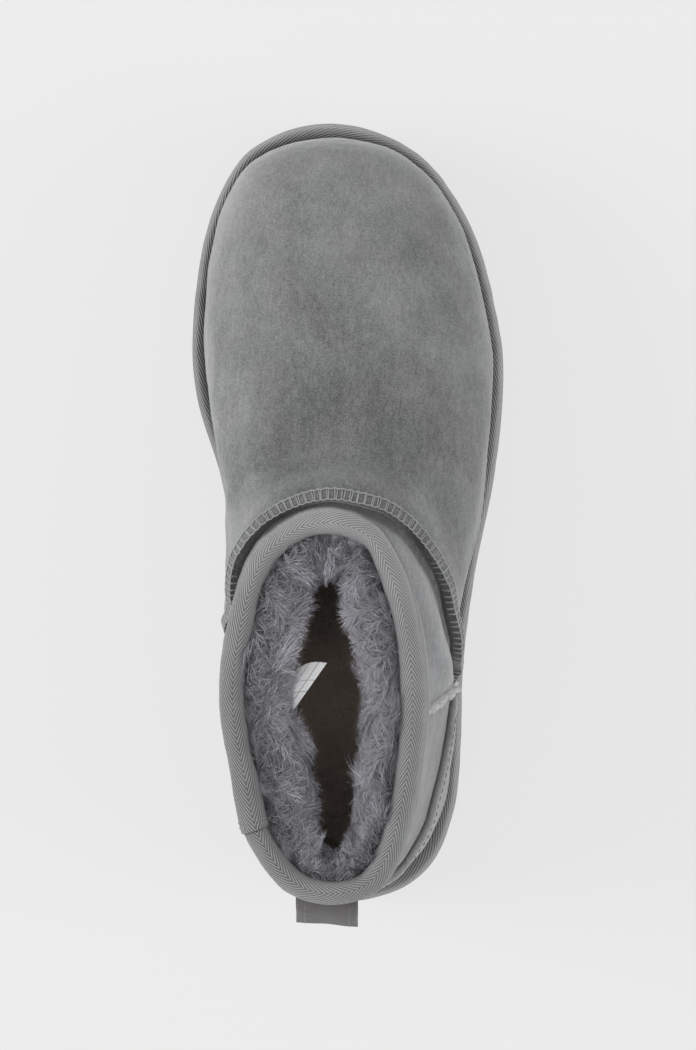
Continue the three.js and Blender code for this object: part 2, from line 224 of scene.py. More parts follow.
class Wire:
    """An output of a shader tree. Sums and products of wires add Math nodes."""

    def __init__(self, tree, socket=None):
        self.tree, self.socket = tree, socket

    def node(self, kind, settings=None, inputs=None, out=0):
        """Any node: its type, its settings, then the values or wires of its sockets."""
        made = self.tree.nodes.new("ShaderNode" + kind)
        for setting, value in (settings or {}).items():
            setattr(made, setting, value)
        for name, value in (inputs or {}).items():
            if isinstance(value, Wire):
                self.tree.links.new(value.socket, made.inputs[name])
            else:
                made.inputs[name].default_value = value
        return Wire(self.tree, made.outputs[out] if made.outputs else None)

    def maths(self, operation, *values):
        return self.node("Math", {"operation": operation}, dict(enumerate(values)))

    def __add__(self, other):
        return self.maths("ADD", self, other)

    def __sub__(self, other):
        return self.maths("SUBTRACT", self, other)

    def __rsub__(self, other):
        return self.maths("SUBTRACT", other, self)

    def __mul__(self, other):
        return self.maths("MULTIPLY", self, other)

    def __truediv__(self, other):
        return self.maths("DIVIDE", self, other)

    def __abs__(self):
        return self.maths("ABSOLUTE", self)

    __radd__, __rmul__ = __add__, __mul__

    def wave(self):
        """A smooth wave between 0 and 1 that repeats each time the wire grows by one."""
        return self.maths("SINE", self * TURN) * 0.5 + 0.5

    def between(self, low, high):
        """0 below low, 1 above high, and smooth between them."""
        settings = {"interpolation_type": "SMOOTHSTEP"}
        inputs = {"Value": self, "From Min": low, "From Max": high}
        return self.node("MapRange", settings, inputs)


def grain(tree, size, detail=2.0, stretch=(1, 1, 1), where=None):
    """Noise from 0 to 1 whose grains are about `size` millimetres across."""
    where = where or tree.node("TexCoord", out="Object")
    scale = [1 / (size * MM * s) for s in stretch]
    place = tree.node("VectorMath", {"operation": "MULTIPLY"}, {0: where, 1: scale})
    return tree.node("TexNoise", {}, {"Vector": place, "Scale": 1.0, "Detail": detail})


def blend_colours(tree, first, second, share):
    inputs = {0: share, 6: (*first, 1) if isinstance(first, tuple) else first}
    inputs[7] = (*second, 1) if isinstance(second, tuple) else second
    return tree.node("Mix", {"data_type": "RGBA"}, inputs, out=2)


def new_finish(name):
    material = bpy.data.materials.new(name)
    material.use_nodes = True
    material.node_tree.nodes.clear()
    return material, Wire(material.node_tree)


def close_finish(tree, colour, roughness, height, depth, **plain):
    """The finish's last nodes: a bump `depth` millimetres deep, and plain shader values."""
    bump = tree.node("Bump", {}, {"Height": height, "Distance": depth * MM, "Strength": 1.0})
    inputs = {"Base Color": colour, "Roughness": roughness, "Normal": bump}
    for name, value in plain.items():
        inputs[name.replace("_", " ").title()] = value
    shader = tree.node("BsdfPrincipled", {}, inputs)
    tree.node("OutputMaterial", {}, {"Surface": shader})


def make_foam_finish():
    material, tree = new_finish("sole_foam")
    fine, cloudy = grain(tree, 0.5), grain(tree, 14, 4)
    scuffs = grain(tree, 2.2, 5, (6, 1, 1)).between(0.6, 0.75)
    colour = blend_colours(tree, (0.088, 0.089, 0.092), (0.13, 0.131, 0.134), cloudy)
    colour = blend_colours(tree, colour, (0.2, 0.2, 0.2), scuffs * 0.35)
    close_finish(tree, colour, cloudy * 0.15 + 0.62, fine + scuffs * 0.4, 0.08)
    return material


SOLE_STEPS = 240
Lug = namedtuple("Lug", "first last")
LUG_ROWS = [Lug(-112, -30), Lug(62, 122)]
LUG_PITCH, LUG_GROOVE, LUG_HEIGHT, LUG_SKEW = 11.5, 3.6, 2.6, math.radians(7)
foam = make_foam_finish()


def ring(angles, distance, height_at):
    """A ring inside the tape's outline, at the height each point's place needs."""
    flat = inset(tape_outline, angles, distance)
    return lift(flat, height_at(flat[:, 1]))


sole_ring = partial(ring, round_angles(SOLE_STEPS))


def make_sole():
    side = TAPE_WALL + GAP
    base = lambda y: sole_bottom(y) + LUG_HEIGHT
    rings = [
        sole_ring(SOLE_BEVEL, base),
        sole_ring(1.2, lambda y: base(y) + 0.5),
        sole_ring(GAP, lambda y: base(y) + 2),
        sole_ring(GAP, lambda y: sole_bottom(y) + FLANGE - 0.7),
        sole_ring(GAP + 0.6, lambda y: sole_bottom(y) + FLANGE),
        sole_ring(side, lambda y: sole_bottom(y) + FLANGE),
        sole_ring(side, lambda y: sole_top(y) - SHOULDER),
        sole_ring(side + SHOULDER, sole_top),
    ]
    faces, _ = lattice(len(rings), SOLE_STEPS, wrap_columns=True)
    bottom = cap_across(SOLE_STEPS, 0, False)
    top = cap_across(SOLE_STEPS, (len(rings) - 1) * SOLE_STEPS, True)
    return np.concatenate(rings), np.concatenate([faces[:, ::-1], bottom, top])


def make_lugs():
    """Each lug runs across the sole between the outlines, with a rounded section."""
    points, faces = [], []
    steps = 30
    half = (LUG_PITCH - LUG_GROOVE) / 2
    section = [(-half, 1), (-half, 0.25), (-half + 0.5, 0)]
    section += [(half - 0.5, 0), (half, 0.25), (half, 1)]
    dense = inset(tape_outline, round_angles(1440), 0.8)
    cosine, sine = math.cos(LUG_SKEW), math.sin(LUG_SKEW)
    turn = np.array([[cosine, -sine], [sine, cosine]])
    k = np.arange(1, len(section) - 1)

    def fan(end):
        """Faces that close one end of a lug, all from its first corner."""
        last = (k + 1) * steps + end
        return np.stack([np.full_like(k, end), k * steps + end, last, last], -1)

    for row in LUG_ROWS:
        for middle in np.arange(row.first - LUG_PITCH / 2, row.last + LUG_PITCH, LUG_PITCH):
            local = (dense - [0, middle]) @ turn
            lug = []
            for forward, up in section:
                near = local[np.abs(local[:, 1] - forward) < 2, 0]
                x = np.linspace(near[near < 0].mean(), near[near > 0].mean(), steps)
                flat = np.stack([x, np.full(steps, forward)], -1) @ turn.T + [0, middle]
                rim = np.minimum(1, (steps - 1 - np.arange(steps)) * np.arange(steps) / steps)
                raised = np.maximum(up, 0.45 * (1 - rim))
                lug.append(lift(flat, sole_bottom(flat[:, 1]) + raised * (LUG_HEIGHT + 1)))
            mesh_faces, _ = lattice(len(section), steps, wrap_rows=True)
            start = sum(len(p) for p in points)
            points.append(np.concatenate(lug))
            faces += [mesh_faces + start, fan(0) + start, fan(steps - 1)[:, ::-1] + start]
    return np.concatenate(points), np.concatenate(faces)


sole_points, sole_faces = make_sole()
lug_points, lug_faces = make_lugs()
sole = make_mesh(
    "sole",
    np.concatenate([sole_points, lug_points]),
    np.concatenate([sole_faces, lug_faces + len(sole_points)]),
    foam,
)
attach(sole, "root")
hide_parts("sole")

# ---- Sole tape ----------------------------------------------------------------------
# A wide woven twill tape is glued round the platform, turned in over its top edge and
# tucked against the upper. Its ribs lean along the edge. A highlight is painted along its
# fold, and shade on the part tucked against the upper and on the medial side; it is painted
# lighter towards the toe.
TAPE_STEPS = 560
TAPE_CROWN, TAPE_ROUND, TAPE_BELLY = 2.2, 1.6, 0.35
TWILL_PITCH, TWILL_LEAN = 0.9, math.radians(19)


def measure_cloth(points, wrap_rows=True, wrap_columns=True, even=True):
    """How far along and across the cloth each grid point lies, in millimetres. Across it
    that is the same all along the cloth, unless `even` is off."""
    if wrap_rows:
        points = np.concatenate([points, points[:1]])
    if wrap_columns:
        points = np.concatenate([points, points[:, :1]], 1)
    along = np.linalg.norm(np.diff(points, axis=0), axis=-1).mean(1)
    across = np.linalg.norm(np.diff(points, axis=1), axis=-1)
    if even:
        across = np.broadcast_to(across.mean(0), across.shape)
    place = np.zeros((*points.shape[:2], 2))
    place[1:, :, 0] = np.cumsum(along)[:, None]
    place[:, 1:, 1] = np.cumsum(across, 1)
    return place


def swell(points, size, seed, waves=14):
    """Soft random swelling through space, about -1 to 1, `size` millimetres across."""
    draw = np.random.default_rng(seed)
    directions = draw.normal(size=(waves, 3))
    directions *= TURN / size / np.linalg.norm(directions, axis=1, keepdims=True)
    phases = draw.uniform(0, TURN, waves)
    total = np.zeros(points.shape[:-1])
    for direction, phase in zip(directions, phases):
        total += np.sin(points @ direction + phase)
    return total / math.sqrt(waves)


def cloth_place(tree):
    """Millimetres along and across the cloth, as two wires."""
    place = tree.node("UVMap", {"uv_map": "cloth"})
    parts = [tree.node("SeparateXYZ", {}, {0: place}, out=axis) for axis in (0, 1)]
    return parts[0] / MM, parts[1] / MM


def measured(tree, name):
    return tree.node("Attribute", {"attribute_name": name}, out="Fac")


def make_twill_finish():
    material, tree = new_finish("sole_twill")
    along, across = cloth_place(tree)
    wander = grain(tree, 5, 2) * 0.5
    lean = math.cos(TWILL_LEAN), math.sin(TWILL_LEAN)
    ribs = ((across * lean[0] - along * lean[1]) / TWILL_PITCH + wander).wave()
    yarns = (along / 0.62 + wander).wave()
    cloudy, fuzz = grain(tree, 9, 4), grain(tree, 0.35, 2)
    # The tone attribute read here carries painted light and shade.
    tone = measured(tree, "brushing")
    thread = ribs * (yarns * 0.4 + 0.6)
    share = thread * 0.6 + cloudy * 0.2 + fuzz * 0.2 + tone
    colour = blend_colours(tree, (0.045, 0.046, 0.048), (0.42, 0.422, 0.43), share)
    height = thread + fuzz * 0.35
    roughness = fuzz * 0.1 + 0.82
    close_finish(tree, colour, roughness, height, 0.28, sheen_weight=0.25, sheen_roughness=0.5)
    return material


tape_angles = round_angles(TAPE_STEPS)
tape_ring = partial(ring, tape_angles)


def level_out(outline, angle):
    return lift(outward_of(outline, angle), 0.0)


def make_tape():
    lower = lambda y: sole_bottom(y) + FLANGE + GAP
    above = lambda height: lambda y: sole_top(y) + height
    share = lambda part: lambda y: lower(y) + (sole_top(y) - SHOULDER - lower(y)) * part
    lip = lip_width(tape_angles)
    chamfer = np.minimum(TAPE_WALL + SHOULDER, lip - 0.8) + 0.1
    rings = [tape_ring(TAPE_WALL, lower), tape_ring(1.2, lower)]
    rings.append(tape_ring(0.4, lambda y: lower(y) + 0.3))
    for part in np.linspace(0.05, 1, 10):
        rings.append(tape_ring(TAPE_BELLY - TAPE_BELLY * math.sin(math.pi * part), share(part)))
    for turn in np.linspace(0.15, 1, 6) * math.pi / 2:
        out = TAPE_ROUND * (1 - math.cos(turn)) * 1.5
        rings.append(tape_ring(out, above(-SHOULDER + (SHOULDER + TAPE_CROWN) * math.sin(turn))))
    inner = TAPE_ROUND * 1.5
    for part in (0.35, 0.7):
        rings.append(tape_ring(inner + (lip - 0.8 - inner) * part, above(TAPE_CROWN)))
    rings += [
        tape_ring(lip - 0.5, above(TAPE_CROWN - 0.4)),
        tape_ring(lip + 0.1, above(0.9)),
        tape_ring(lip - 0.2, above(GAP)),
        tape_ring(chamfer, above(GAP)),
        tape_ring(np.full(TAPE_STEPS, TAPE_WALL), above(GAP - SHOULDER)),
    ]
    return np.stack(rings, 1)


tape_points = make_tape()
wobble = 0.16 * swell(tape_points, 34, 3) + 0.08 * swell(tape_points, 9, 4)
tape_out = level_out(tape_outline, tape_angles)[:, None]
free = np.zeros(tape_points.shape[1])
free[2:20] = 1
tape_points = tape_points + tape_out * (np.minimum(0.1, wobble) * free)[..., None]
tape_faces, tape_corners = lattice(*tape_points.shape[:2], True, True)
# Painted highlight along the tape's fold, and painted shade on its inner part tucked against the
# upper.
tape_shading = np.zeros(tape_points.shape[1])
tape_shading[13:19] = [0.08, 0.2, 0.26, 0.26, 0.2, 0.1]
tape_shading[18:] = [0.04, -0.1, -0.22] + [-0.3] * (tape_points.shape[1] - 21)
# Painted light towards the toe and painted shade on the medial side.
tape_light = 0.12 * np.clip(np.cos(tape_angles), 0, 1) ** 3
tape_light = tape_light - 0.26 * np.clip(np.sin(tape_angles), 0, 1)
sole_tape = make_mesh(
    "sole_tape",
    tape_points,
    tape_faces,
    make_twill_finish(),
    tape_corners,
    measure_cloth(tape_points, even=False),
    brushing=tape_shading + tape_light[:, None],
)
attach(sole_tape, "root")
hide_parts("sole_tape")

# ---- Suede of the upper --------------------------------------------------------------
# Three panels of sheepskin, suede side out: a vamp from the toe to the side seams, a shaft
# front above the horseshoe seam, and a shaft back. The wool pads them, so they swell
# between the seams and dip along them. Light and shade are painted into the suede's colour:
# lighter on swells, at the toe, on the medial side and on the roll under the binding, darker
# in dents, over the middle of the vamp and in the crevice above the horseshoe seam.
Collar = namedtuple("Collar", "y medial lateral")
COLLAR_FRONT, COLLAR_BACK = Collar(-0.6, 7.5, -7.5), Collar(131, 5.5, -5.5)
COLLAR_SECTIONS = [
    Collar(5, 23.5, 9.6),
    Collar(14, 32.1, 16),
    Collar(35, 39.4, 23.1),
    Collar(63, 42.7, 25.9),
    Collar(90, 38.4, 23.6),
    Collar(107, 34.6, 19.9),
    Collar(118, 28.4, 16),
    Collar(127, 19.6, 9),
]
Skin = namedtuple("Skin", "degrees rise bulge setout drop")
SKIN_MEDIAL = [
    Skin(0, 56, 8, 27, 55),
    Skin(38, 52, 8, 19, 50),
    Skin(56, 46, 6, 4, 46),
    Skin(66, 41, 2.5, -2, 42),
    Skin(78, 36, -4, 2, 38),
    Skin(95, 33, 0, 1, 36),
    Skin(125, 30, 4, 1, 34),
    Skin(180, 32, 3, 1, 34),
]
SKIN_LATERAL = [
    Skin(28, 53, 11, 24, 53),
    Skin(50, 49, 9, 19, 50),
    Skin(80, 40, 6.5, 12, 46),
    Skin(118, 32, 4, 5.5, 38),
    Skin(152, 31, 1.5, 2, 35),
]
RIM_HEIGHT, RIM_BACK_RISE, RIM_SIDE_DIP = 133, 3, 2
BINDING_SKIN = 1.5
Climb = namedtuple("Climb", "degrees climb")
HORSESHOE_MEDIAL = [
    Climb(0, 0.944),
    Climb(20, 0.947),
    Climb(37, 0.943),
    Climb(44, 0.93),
    Climb(54, 0.9),
    Climb(65, 0.845),
    Climb(75, 0.775),
    Climb(85, 0.67),
    Climb(97, 0.52),
    Climb(112, 0.3),
]
HORSESHOE_LATERAL = [
    Climb(14, 0.936),
    Climb(22, 0.923),
    Climb(30, 0.905),
    Climb(38, 0.88),
    Climb(50, 0.845),
    Climb(65, 0.785),
    Climb(80, 0.712),
    Climb(97, 0.55),
    Climb(112, 0.3),
]
SIDE_SEAM_MEDIAL, SIDE_SEAM_LATERAL = 58.5, 60
SIDE_SEAM_SLANT = 0.12
collar_outline = outline_from(COLLAR_FRONT, COLLAR_BACK, COLLAR_SECTIONS)


def round_foot(medial, lateral, column):
    near = [(math.radians(row.degrees), getattr(row, column)) for row in medial]
    far = [(TURN - math.radians(row.degrees), getattr(row, column)) for row in lateral]
    return curve_through([*near, *reversed(far)])


skin_shape = {c: round_foot(SKIN_MEDIAL, SKIN_LATERAL, c) for c in Skin._fields[1:]}
horseshoe = round_foot([*HORSESHOE_MEDIAL, Climb(180, 0.1)], HORSESHOE_LATERAL, "climb")


def rim_height(angle):
    backward = (1 - np.cos(angle)) / 2
    return RIM_HEIGHT + RIM_BACK_RISE * backward - RIM_SIDE_DIP * np.sin(angle) ** 2


def feather_point(angle):
    flat = inset(tape_outline, angle, lip_width(angle) + 2 * GAP)
    return lift(flat, sole_top(flat[..., 1]) + GAP)


def rim_point(angle):
    distance = np.full_like(angle, BINDING_SKIN + GAP)
    return lift(inset(collar_outline, angle, distance), rim_height(angle))


def skin_point(angle, t):
    """The upper's outer skin: round the foot by angle, from the sole (0) to the rim (1)."""
    angle, t = np.broadcast_arrays(np.asarray(angle, float), np.asarray(t, float))
    foot, rim = feather_point(angle), rim_point(angle)
    above = foot + level_out(tape_outline, angle) * skin_shape["bulge"](angle)[..., None]
    above[..., 2] += skin_shape["rise"](angle)
    below = rim + level_out(collar_outline, angle) * skin_shape["setout"](angle)[..., None]
    below[..., 2] -= skin_shape["drop"](angle)
    t = t[..., None]
    curve = foot * (1 - t) ** 3 + 3 * above * t * (1 - t) ** 2
    return curve + 3 * below * t * t * (1 - t) + rim * t**3


def skin_normal(angle, t):
    step = 1e-3
    round_ = skin_point(angle + step, t) - skin_point(angle - step, t)
    up = skin_point(angle, np.minimum(1, t + step)) - skin_point(angle, np.maximum(0, t - step))
    return unit(np.cross(round_, up))


def behind_seam(place, y):
    """How far a point is behind a side seam, which leans back as it climbs."""
    return place[..., 1] - y - SIDE_SEAM_SLANT * (place[..., 2] - 62)


def side_seam_angle(y, t, side):
    """Where a side seam crosses the skin's own lines."""
    low, high = np.full_like(t, math.radians(60)), np.full_like(t, math.radians(150))
    for _ in range(22):
        middle = (low + high) / 2
        past = behind_seam(skin_point(middle * side, t), y) > 0
        low, high = np.where(past, low, middle), np.where(past, middle, high)
    return (low + high) / 2 * side


def seam_place(angle, t):
    """How far above the horseshoe seam a place is, and 1 ahead of the seam's ends, 0 behind."""
    over = (t - horseshoe(angle)) * SKIN_RUN
    return over, np.clip((np.abs(angle - math.pi) - math.radians(64)) / 0.12, 0, 1)


SKIN_RUN = 95.0  # millimetres of suede from the sole up to the rim, about
Crease = namedtuple("Crease", "degrees climb degrees_end climb_end width depth")
CREASES = [
    Crease(296, 0.52, 330, 0.72, 9, -0.9),
    Crease(300, 0.64, 326, 0.8, 6, 0.7),
    Crease(40, 0.74, 70, 0.5, 9, -0.8),
    Crease(262, 0.5, 285, 0.36, 8, -0.8),
    Crease(100, 0.6, 88, 0.35, 8, -0.7),
    Crease(222, 0.62, 205, 0.86, 8, -0.9),
    Crease(140, 0.66, 158, 0.85, 8, -0.8),
    Crease(350, 0.5, 20, 0.56, 14, -0.5),
    Crease(335, 0.3, 20, 0.26, 16, -0.4),
    Crease(42, 0.6, 74, 0.62, 40, -1.1),
]


def skin_relief(angle, t):
    """How far the suede stands off the plain skin: dents, creases, seam dips and swells."""
    angle, t = np.broadcast_arrays(np.asarray(angle, float), np.asarray(t, float))
    place = skin_point(angle, t)
    relief = 0.35 * swell(place, 48, 11) + 0.18 * swell(place, 17, 12) + 0.05 * swell(place, 5, 13)
    for crease in CREASES:
        path = np.linspace(0, 1, 14)
        turn = math.radians((crease.degrees_end - crease.degrees + 180) % 360 - 180)
        climbs = crease.climb + (crease.climb_end - crease.climb) * path
        line = skin_point(math.radians(crease.degrees) + turn * path, climbs)
        strength = np.sin(math.pi * (path * 0.9 + 0.05))
        away = np.full(angle.shape, 1e9)
        depth = np.zeros(angle.shape)
        for point, share in zip(line, strength):
            distance = np.linalg.norm(place - point, axis=-1)
            depth = np.where(distance < away, share, depth)
            away = np.minimum(away, distance)
        relief += crease.depth * depth * np.exp(-((away / (crease.width / 2)) ** 2))
    over, front = seam_place(angle, t)
    topmost = np.clip(np.cos(angle), 0, 1)
    relief += front * (0.4 + 1.6 * topmost) * np.exp(-(((over + 4.0) / 4.0) ** 2))
    relief -= front * 1.3 * np.exp(-(((over - 2.6) / 2.0) ** 2))
    relief += front * 1.6 * np.exp(-(((over - 8.5) / 4.0) ** 2)) * smoothstep(1 - t, 0.02, 0.1)
    for side, y in ((1, SIDE_SEAM_MEDIAL), (-1, SIDE_SEAM_LATERAL)):
        near = (place[..., 0] * side > 0) * np.exp(-((behind_seam(place, y) / 3.2) ** 2))
        relief -= 0.7 * near
    return relief * smoothstep(t, 0.0, 0.06) * smoothstep(1 - t, 0.0, 0.05)


def skin_surface(angle, t, off=0.0):
    relief = skin_relief(angle, t) + off
    return skin_point(angle, t) + skin_normal(angle, t) * relief[..., None]


WARMER = (1.012, 1.0, 0.972)  # red, green and blue of the warmer patches against the rest


def make_suede_finish(name, dark, light, seed):
    material, tree = new_finish(name)
    place = tree.node("TexCoord", out="Object")
    away = (seed * 0.7, seed * 0.3, seed)
    shift = tree.node("VectorMath", {"operation": "ADD"}, {0: place, 1: away})
    brushed = grain(tree, 30, 3, where=shift) - 0.5
    patches = grain(tree, 7, 4, (1, 1.6, 1), where=shift) - 0.5
    streaks = grain(tree, 1.5, 3, (0.8, 2.2, 1.5), where=shift) - 0.5
    nap = grain(tree, 0.5, 3, (1, 1.3, 1), where=shift)
    specks = grain(tree, 0.7, 1, where=shift).between(0.77, 0.82)
    warmth = grain(tree, 18, 3, where=shift).between(0.42, 0.62)
    # The tone attribute read here carries painted light and shade, with some tone that differs at
    # random.
    tone = measured(tree, "brushing")
    share = brushed * 0.35 + patches * 0.45 + streaks * 0.55 + nap * 1.2 + tone - 0.18
    cool = blend_colours(tree, dark, light, share)
    warm = [tuple(part * more for part, more in zip(shade, WARMER)) for shade in (dark, light)]
    colour = blend_colours(tree, cool, blend_colours(tree, *warm, share), warmth)
    colour = blend_colours(tree, colour, (0.42, 0.42, 0.43), specks * 0.4)
    height = nap * 0.6 + streaks * 0.3 + patches * 0.35
    roughness = nap * 0.1 + 0.86
    close_finish(tree, colour, roughness, height, 0.26, sheen_weight=0.55, sheen_roughness=0.42)
    return material


SKIN_STEPS, CLIMB_STEPS, SUEDE_THICKNESS = 340, 118, 1.8
skin_angles = round_angles(SKIN_STEPS)[:, None]
skin_climbs = np.linspace(0, 1, CLIMB_STEPS)[None]
skin_grid = skin_surface(skin_angles, skin_climbs)
skin_faces, _ = lattice(SKIN_STEPS, CLIMB_STEPS, wrap_rows=True)
relief_grid = skin_relief(skin_angles, skin_climbs)
# Painted light and shade: a little lighter on swells and darker in dents, plus tone that differs at
# random.
brushing = 0.06 * relief_grid + 0.05 * swell(skin_grid, 30, 21)
# Painted shade over the middle of the vamp.
vamp_middle_shade = np.exp(-(((skin_grid[..., 1] + 20) / 32) ** 2) - ((skin_grid[..., 0] + 2) / 36) ** 2)
# Painted highlight at the toe.
toe_highlight = smoothstep(-skin_grid[..., 1], 85, 125)
over, ahead = seam_place(skin_angles, skin_climbs)
# Painted shade in the crevice above the horseshoe seam, and a painted highlight on the roll above
# it.
crevice_shade = ahead * np.exp(-(((over - 2.6) / 2.2) ** 2))
roll = ahead * np.exp(-(((over - 8.5) / 4.0) ** 2))
# Painted light on the medial side. Behind the side seams the colour is darker.
medial_side_light = smoothstep(skin_grid[..., 0], 18, 42) * (skin_grid[..., 1] < SIDE_SEAM_MEDIAL)
behind = smoothstep(skin_grid[..., 1], 60, 75)
brushing = brushing - 0.29 * vamp_middle_shade + 0.16 * toe_highlight - 0.35 * crevice_shade + 0.18 * roll
brushing = brushing + 0.18 * medial_side_light - 0.19 * behind
suede_vamp = make_suede_finish("vamp_suede", (0.083, 0.086, 0.087), (0.3, 0.307, 0.31), 1)
suede_shaft = make_suede_finish("shaft_suede", (0.09, 0.092, 0.095), (0.33, 0.335, 0.343), 2)
middle_of = skin_grid.reshape(-1, 3)[skin_faces].mean(1)
angle_of, climb_of = (
    np.broadcast_to(values, (SKIN_STEPS, CLIMB_STEPS)).ravel()[skin_faces[:, 0]]
    for values in (skin_angles, skin_climbs)
)
seam_y = np.where(middle_of[:, 0] > 0, SIDE_SEAM_MEDIAL, SIDE_SEAM_LATERAL)
is_back = behind_seam(middle_of, seam_y) > 0
is_vamp = ~is_back & (climb_of < horseshoe(angle_of))
Panel = namedtuple("Panel", "name faces finish")
for panel in (
    Panel("vamp", is_vamp, suede_vamp),
    Panel("shaft_front", ~is_back & ~is_vamp, suede_shaft),
    Panel("shaft_back", is_back, suede_shaft),
):
    used, faces = np.unique(skin_faces[panel.faces], return_inverse=True)
    points, faces = skin_grid.reshape(-1, 3)[used], faces.reshape(-1, 4)
    piece = make_mesh(panel.name, points, faces, panel.finish, brushing=brushing.ravel()[used])
    thickness = piece.modifiers.new("hide", "SOLIDIFY")
    thickness.thickness = SUEDE_THICKNESS * MM
    thickness.offset = -1
    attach(piece, "root")
    if panel.name == "vamp":
        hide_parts("upper")

# ---- Horseshoe seam -----------------------------------------------------------------
# Vamp and shaft are joined edge to edge with the seam on the outside: the two raw edges
# stand up as a low ridge that leans towards the toe, overcast with pale grey thread.
RIDGE_HEIGHT, RIDGE_THICKNESS = 3.3, 3.9
STITCH_PITCH, THREAD = 2.4, 0.2
Stance = namedtuple("Stance", "degrees upright")
STANCE_MEDIAL = [
    Stance(0, 74),
    Stance(20, 62),
    Stance(35, 44),
    Stance(50, 30),
    Stance(70, 32),
    Stance(180, 10),
]
STANCE_LATERAL = [Stance(22, 66), Stance(38, 56), Stance(50, 46), Stance(65, 30), Stance(80, 10)]
stance = round_foot(STANCE_MEDIAL, STANCE_LATERAL, "upright")


def seam_frame(angle, t, upright):
    """Points along a seam, and its ridge's directions: away from the boot, at a rise of
    `upright` degrees over the level, and square to that across the ridge."""
    points = skin_surface(angle, t)
    along = unit(np.gradient(points, axis=0))
    rise = np.radians(upright)[:, None]
    out = unit(skin_normal(angle, t) * [1, 1, 0])
    reach = out * np.cos(rise) + np.array([0, 0, 1]) * np.sin(rise)
    reach = unit(reach - along * (reach * along).sum(-1, keepdims=True))
    side = np.cross(reach, along)
    return points, along, reach, side * np.sign((side * out).sum(-1) - side[:, 2] * 0.5)[:, None]


def run_along(points):
    steps = np.linalg.norm(np.diff(points, axis=0), axis=-1)
    return np.concatenate([[0], np.cumsum(steps)])


def even_steps(points, pitch):
    """Positions, as fractions of the index range, that are `pitch` millimetres apart."""
    run = run_along(points)
    marks = np.arange(0, run[-1], pitch)
    return np.interp(marks, run, np.arange(len(points)))


def at_index(values, index):
    low = np.clip(np.floor(index).astype(int), 0, len(values) - 2)
    share = (index - low)[:, None]
    return values[low] * (1 - share) + values[low + 1] * share


def sweep(points, across, up, section, ends=True):
    """A body with `section`, a loop of (across, up) pairs, run along points. The section
    may change along the way. Its ends are drawn in to a point."""
    section = np.asarray(section, float)
    if section.ndim == 2:
        section = np.broadcast_to(section, (len(points), *section.shape)).copy()
    if ends:
        section[0] = section[0].mean(0)
        section[-1] = section[-1].mean(0)
    return points[:, None] + across[:, None] * section[..., :1] + up[:, None] * section[..., 1:]


def circle(radius, sides=6):
    turn = round_angles(sides)
    return np.stack([np.cos(turn), np.sin(turn)], -1) * radius


def join_bodies(bodies):
    """Several swept bodies, each (steps, sides, 3), as one set of points and quads."""
    points, faces, start = [], [], 0
    for body in bodies:
        steps, sides = body.shape[:2]
        quads, _ = lattice(steps, sides, wrap_columns=True)
        points.append(body.reshape(-1, 3))
        faces.append(quads + start)
        start += steps * sides
    return np.concatenate(points), np.concatenate(faces)


def thread_bodies(paths, radius, hint, sides=6):
    """Round threads along paths. `hint` is a direction that no path runs along."""
    bodies = []
    for path, side in zip(paths, hint):
        along = unit(np.gradient(path, axis=0))
        across = unit(np.cross(along, side))
        bodies.append(sweep(path, across, np.cross(along, across), circle(radius, sides)))
    return bodies


def make_thread_finish(name, dark, light):
    material, tree = new_finish(name)
    fibres, cloudy = grain(tree, 0.22, 2), grain(tree, 6, 3)
    colour = blend_colours(tree, dark, light, fibres * 0.6 + cloudy * 0.4)
    close_finish(tree, colour, fibres * 0.15 + 0.7, fibres, 0.08, sheen_weight=0.3)
    return material


seam_thread = make_thread_finish("seam_thread", (0.16, 0.162, 0.165), (0.42, 0.425, 0.43))
raw_edge = make_suede_finish("raw_edge", (0.07, 0.071, 0.073), (0.27, 0.273, 0.277), 5)


def horseshoe_path(steps=620):
    """Angles and climbs from the medial side seam over the instep to the lateral one."""
    ends = []
    for side, y in ((1, SIDE_SEAM_MEDIAL), (-1, SIDE_SEAM_LATERAL)):
        tries = np.linspace(80, 125, 200) * math.pi / 180
        there = skin_point(tries * side, horseshoe(tries * side))
        ends.append(tries[np.argmin(np.abs(behind_seam(there, y)))] * side)
    angle = np.linspace(ends[0], ends[1], steps)
    return angle, horseshoe(angle)


def make_ridge(angle, t, height, thickness, upright, seed, ragged=0.0):
    """A seam ridge, its line and directions, and how tall it stands along the way."""
    line, _, reach, side = seam_frame(angle, t, upright)
    ends = np.minimum(1, np.minimum(np.arange(len(line)), np.arange(len(line))[::-1]) / 12)
    uneven = 1 + 0.05 * swell(line, 12, seed) + ragged * swell(line, 1.6, seed + 1)
    tall = height * (0.35 + 0.65 * ends) * uneven
    tall = tall * (1 - 0.55 * smoothstep(np.degrees(angle), 45, 75))
    half = thickness / 2
    shape = [(-half, -1.2), (-half, 0.3), (-half, 0.72), (-half * 0.9, 0.93), (-half * 0.5, 1.0)]
    shape += [(0, 1.02), (half * 0.5, 1.0), (half * 0.9, 0.93)]
    shape += [(half, 0.72), (half, 0.3), (half, -2.6)]
    section = [[(out, up * (high if up > 0 else 1)) for out, up in shape] for high in tall]
    return sweep(line, side, reach, section, ends=False), line, side, reach, tall


ridge_angle, ridge_climb = horseshoe_path()
ridge, *ridge_frame = make_ridge(
    ridge_angle, ridge_climb, RIDGE_HEIGHT, RIDGE_THICKNESS, stance(ridge_angle), 31
)
points, faces = join_bodies([ridge])
# Painted shade on both flanks of the ridge, darkest at their feet.
flank_shade = np.array([-0.4, -0.4, -0.3, -0.15, -0.05, -0.05, -0.05, -0.05, -0.1, -0.2, -0.3])
ridge_shade = np.broadcast_to(flank_shade, ridge.shape[:2])
vamp_seam = make_mesh("vamp_seam", points, faces, raw_edge, brushing=ridge_shade)
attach(vamp_seam, "root")


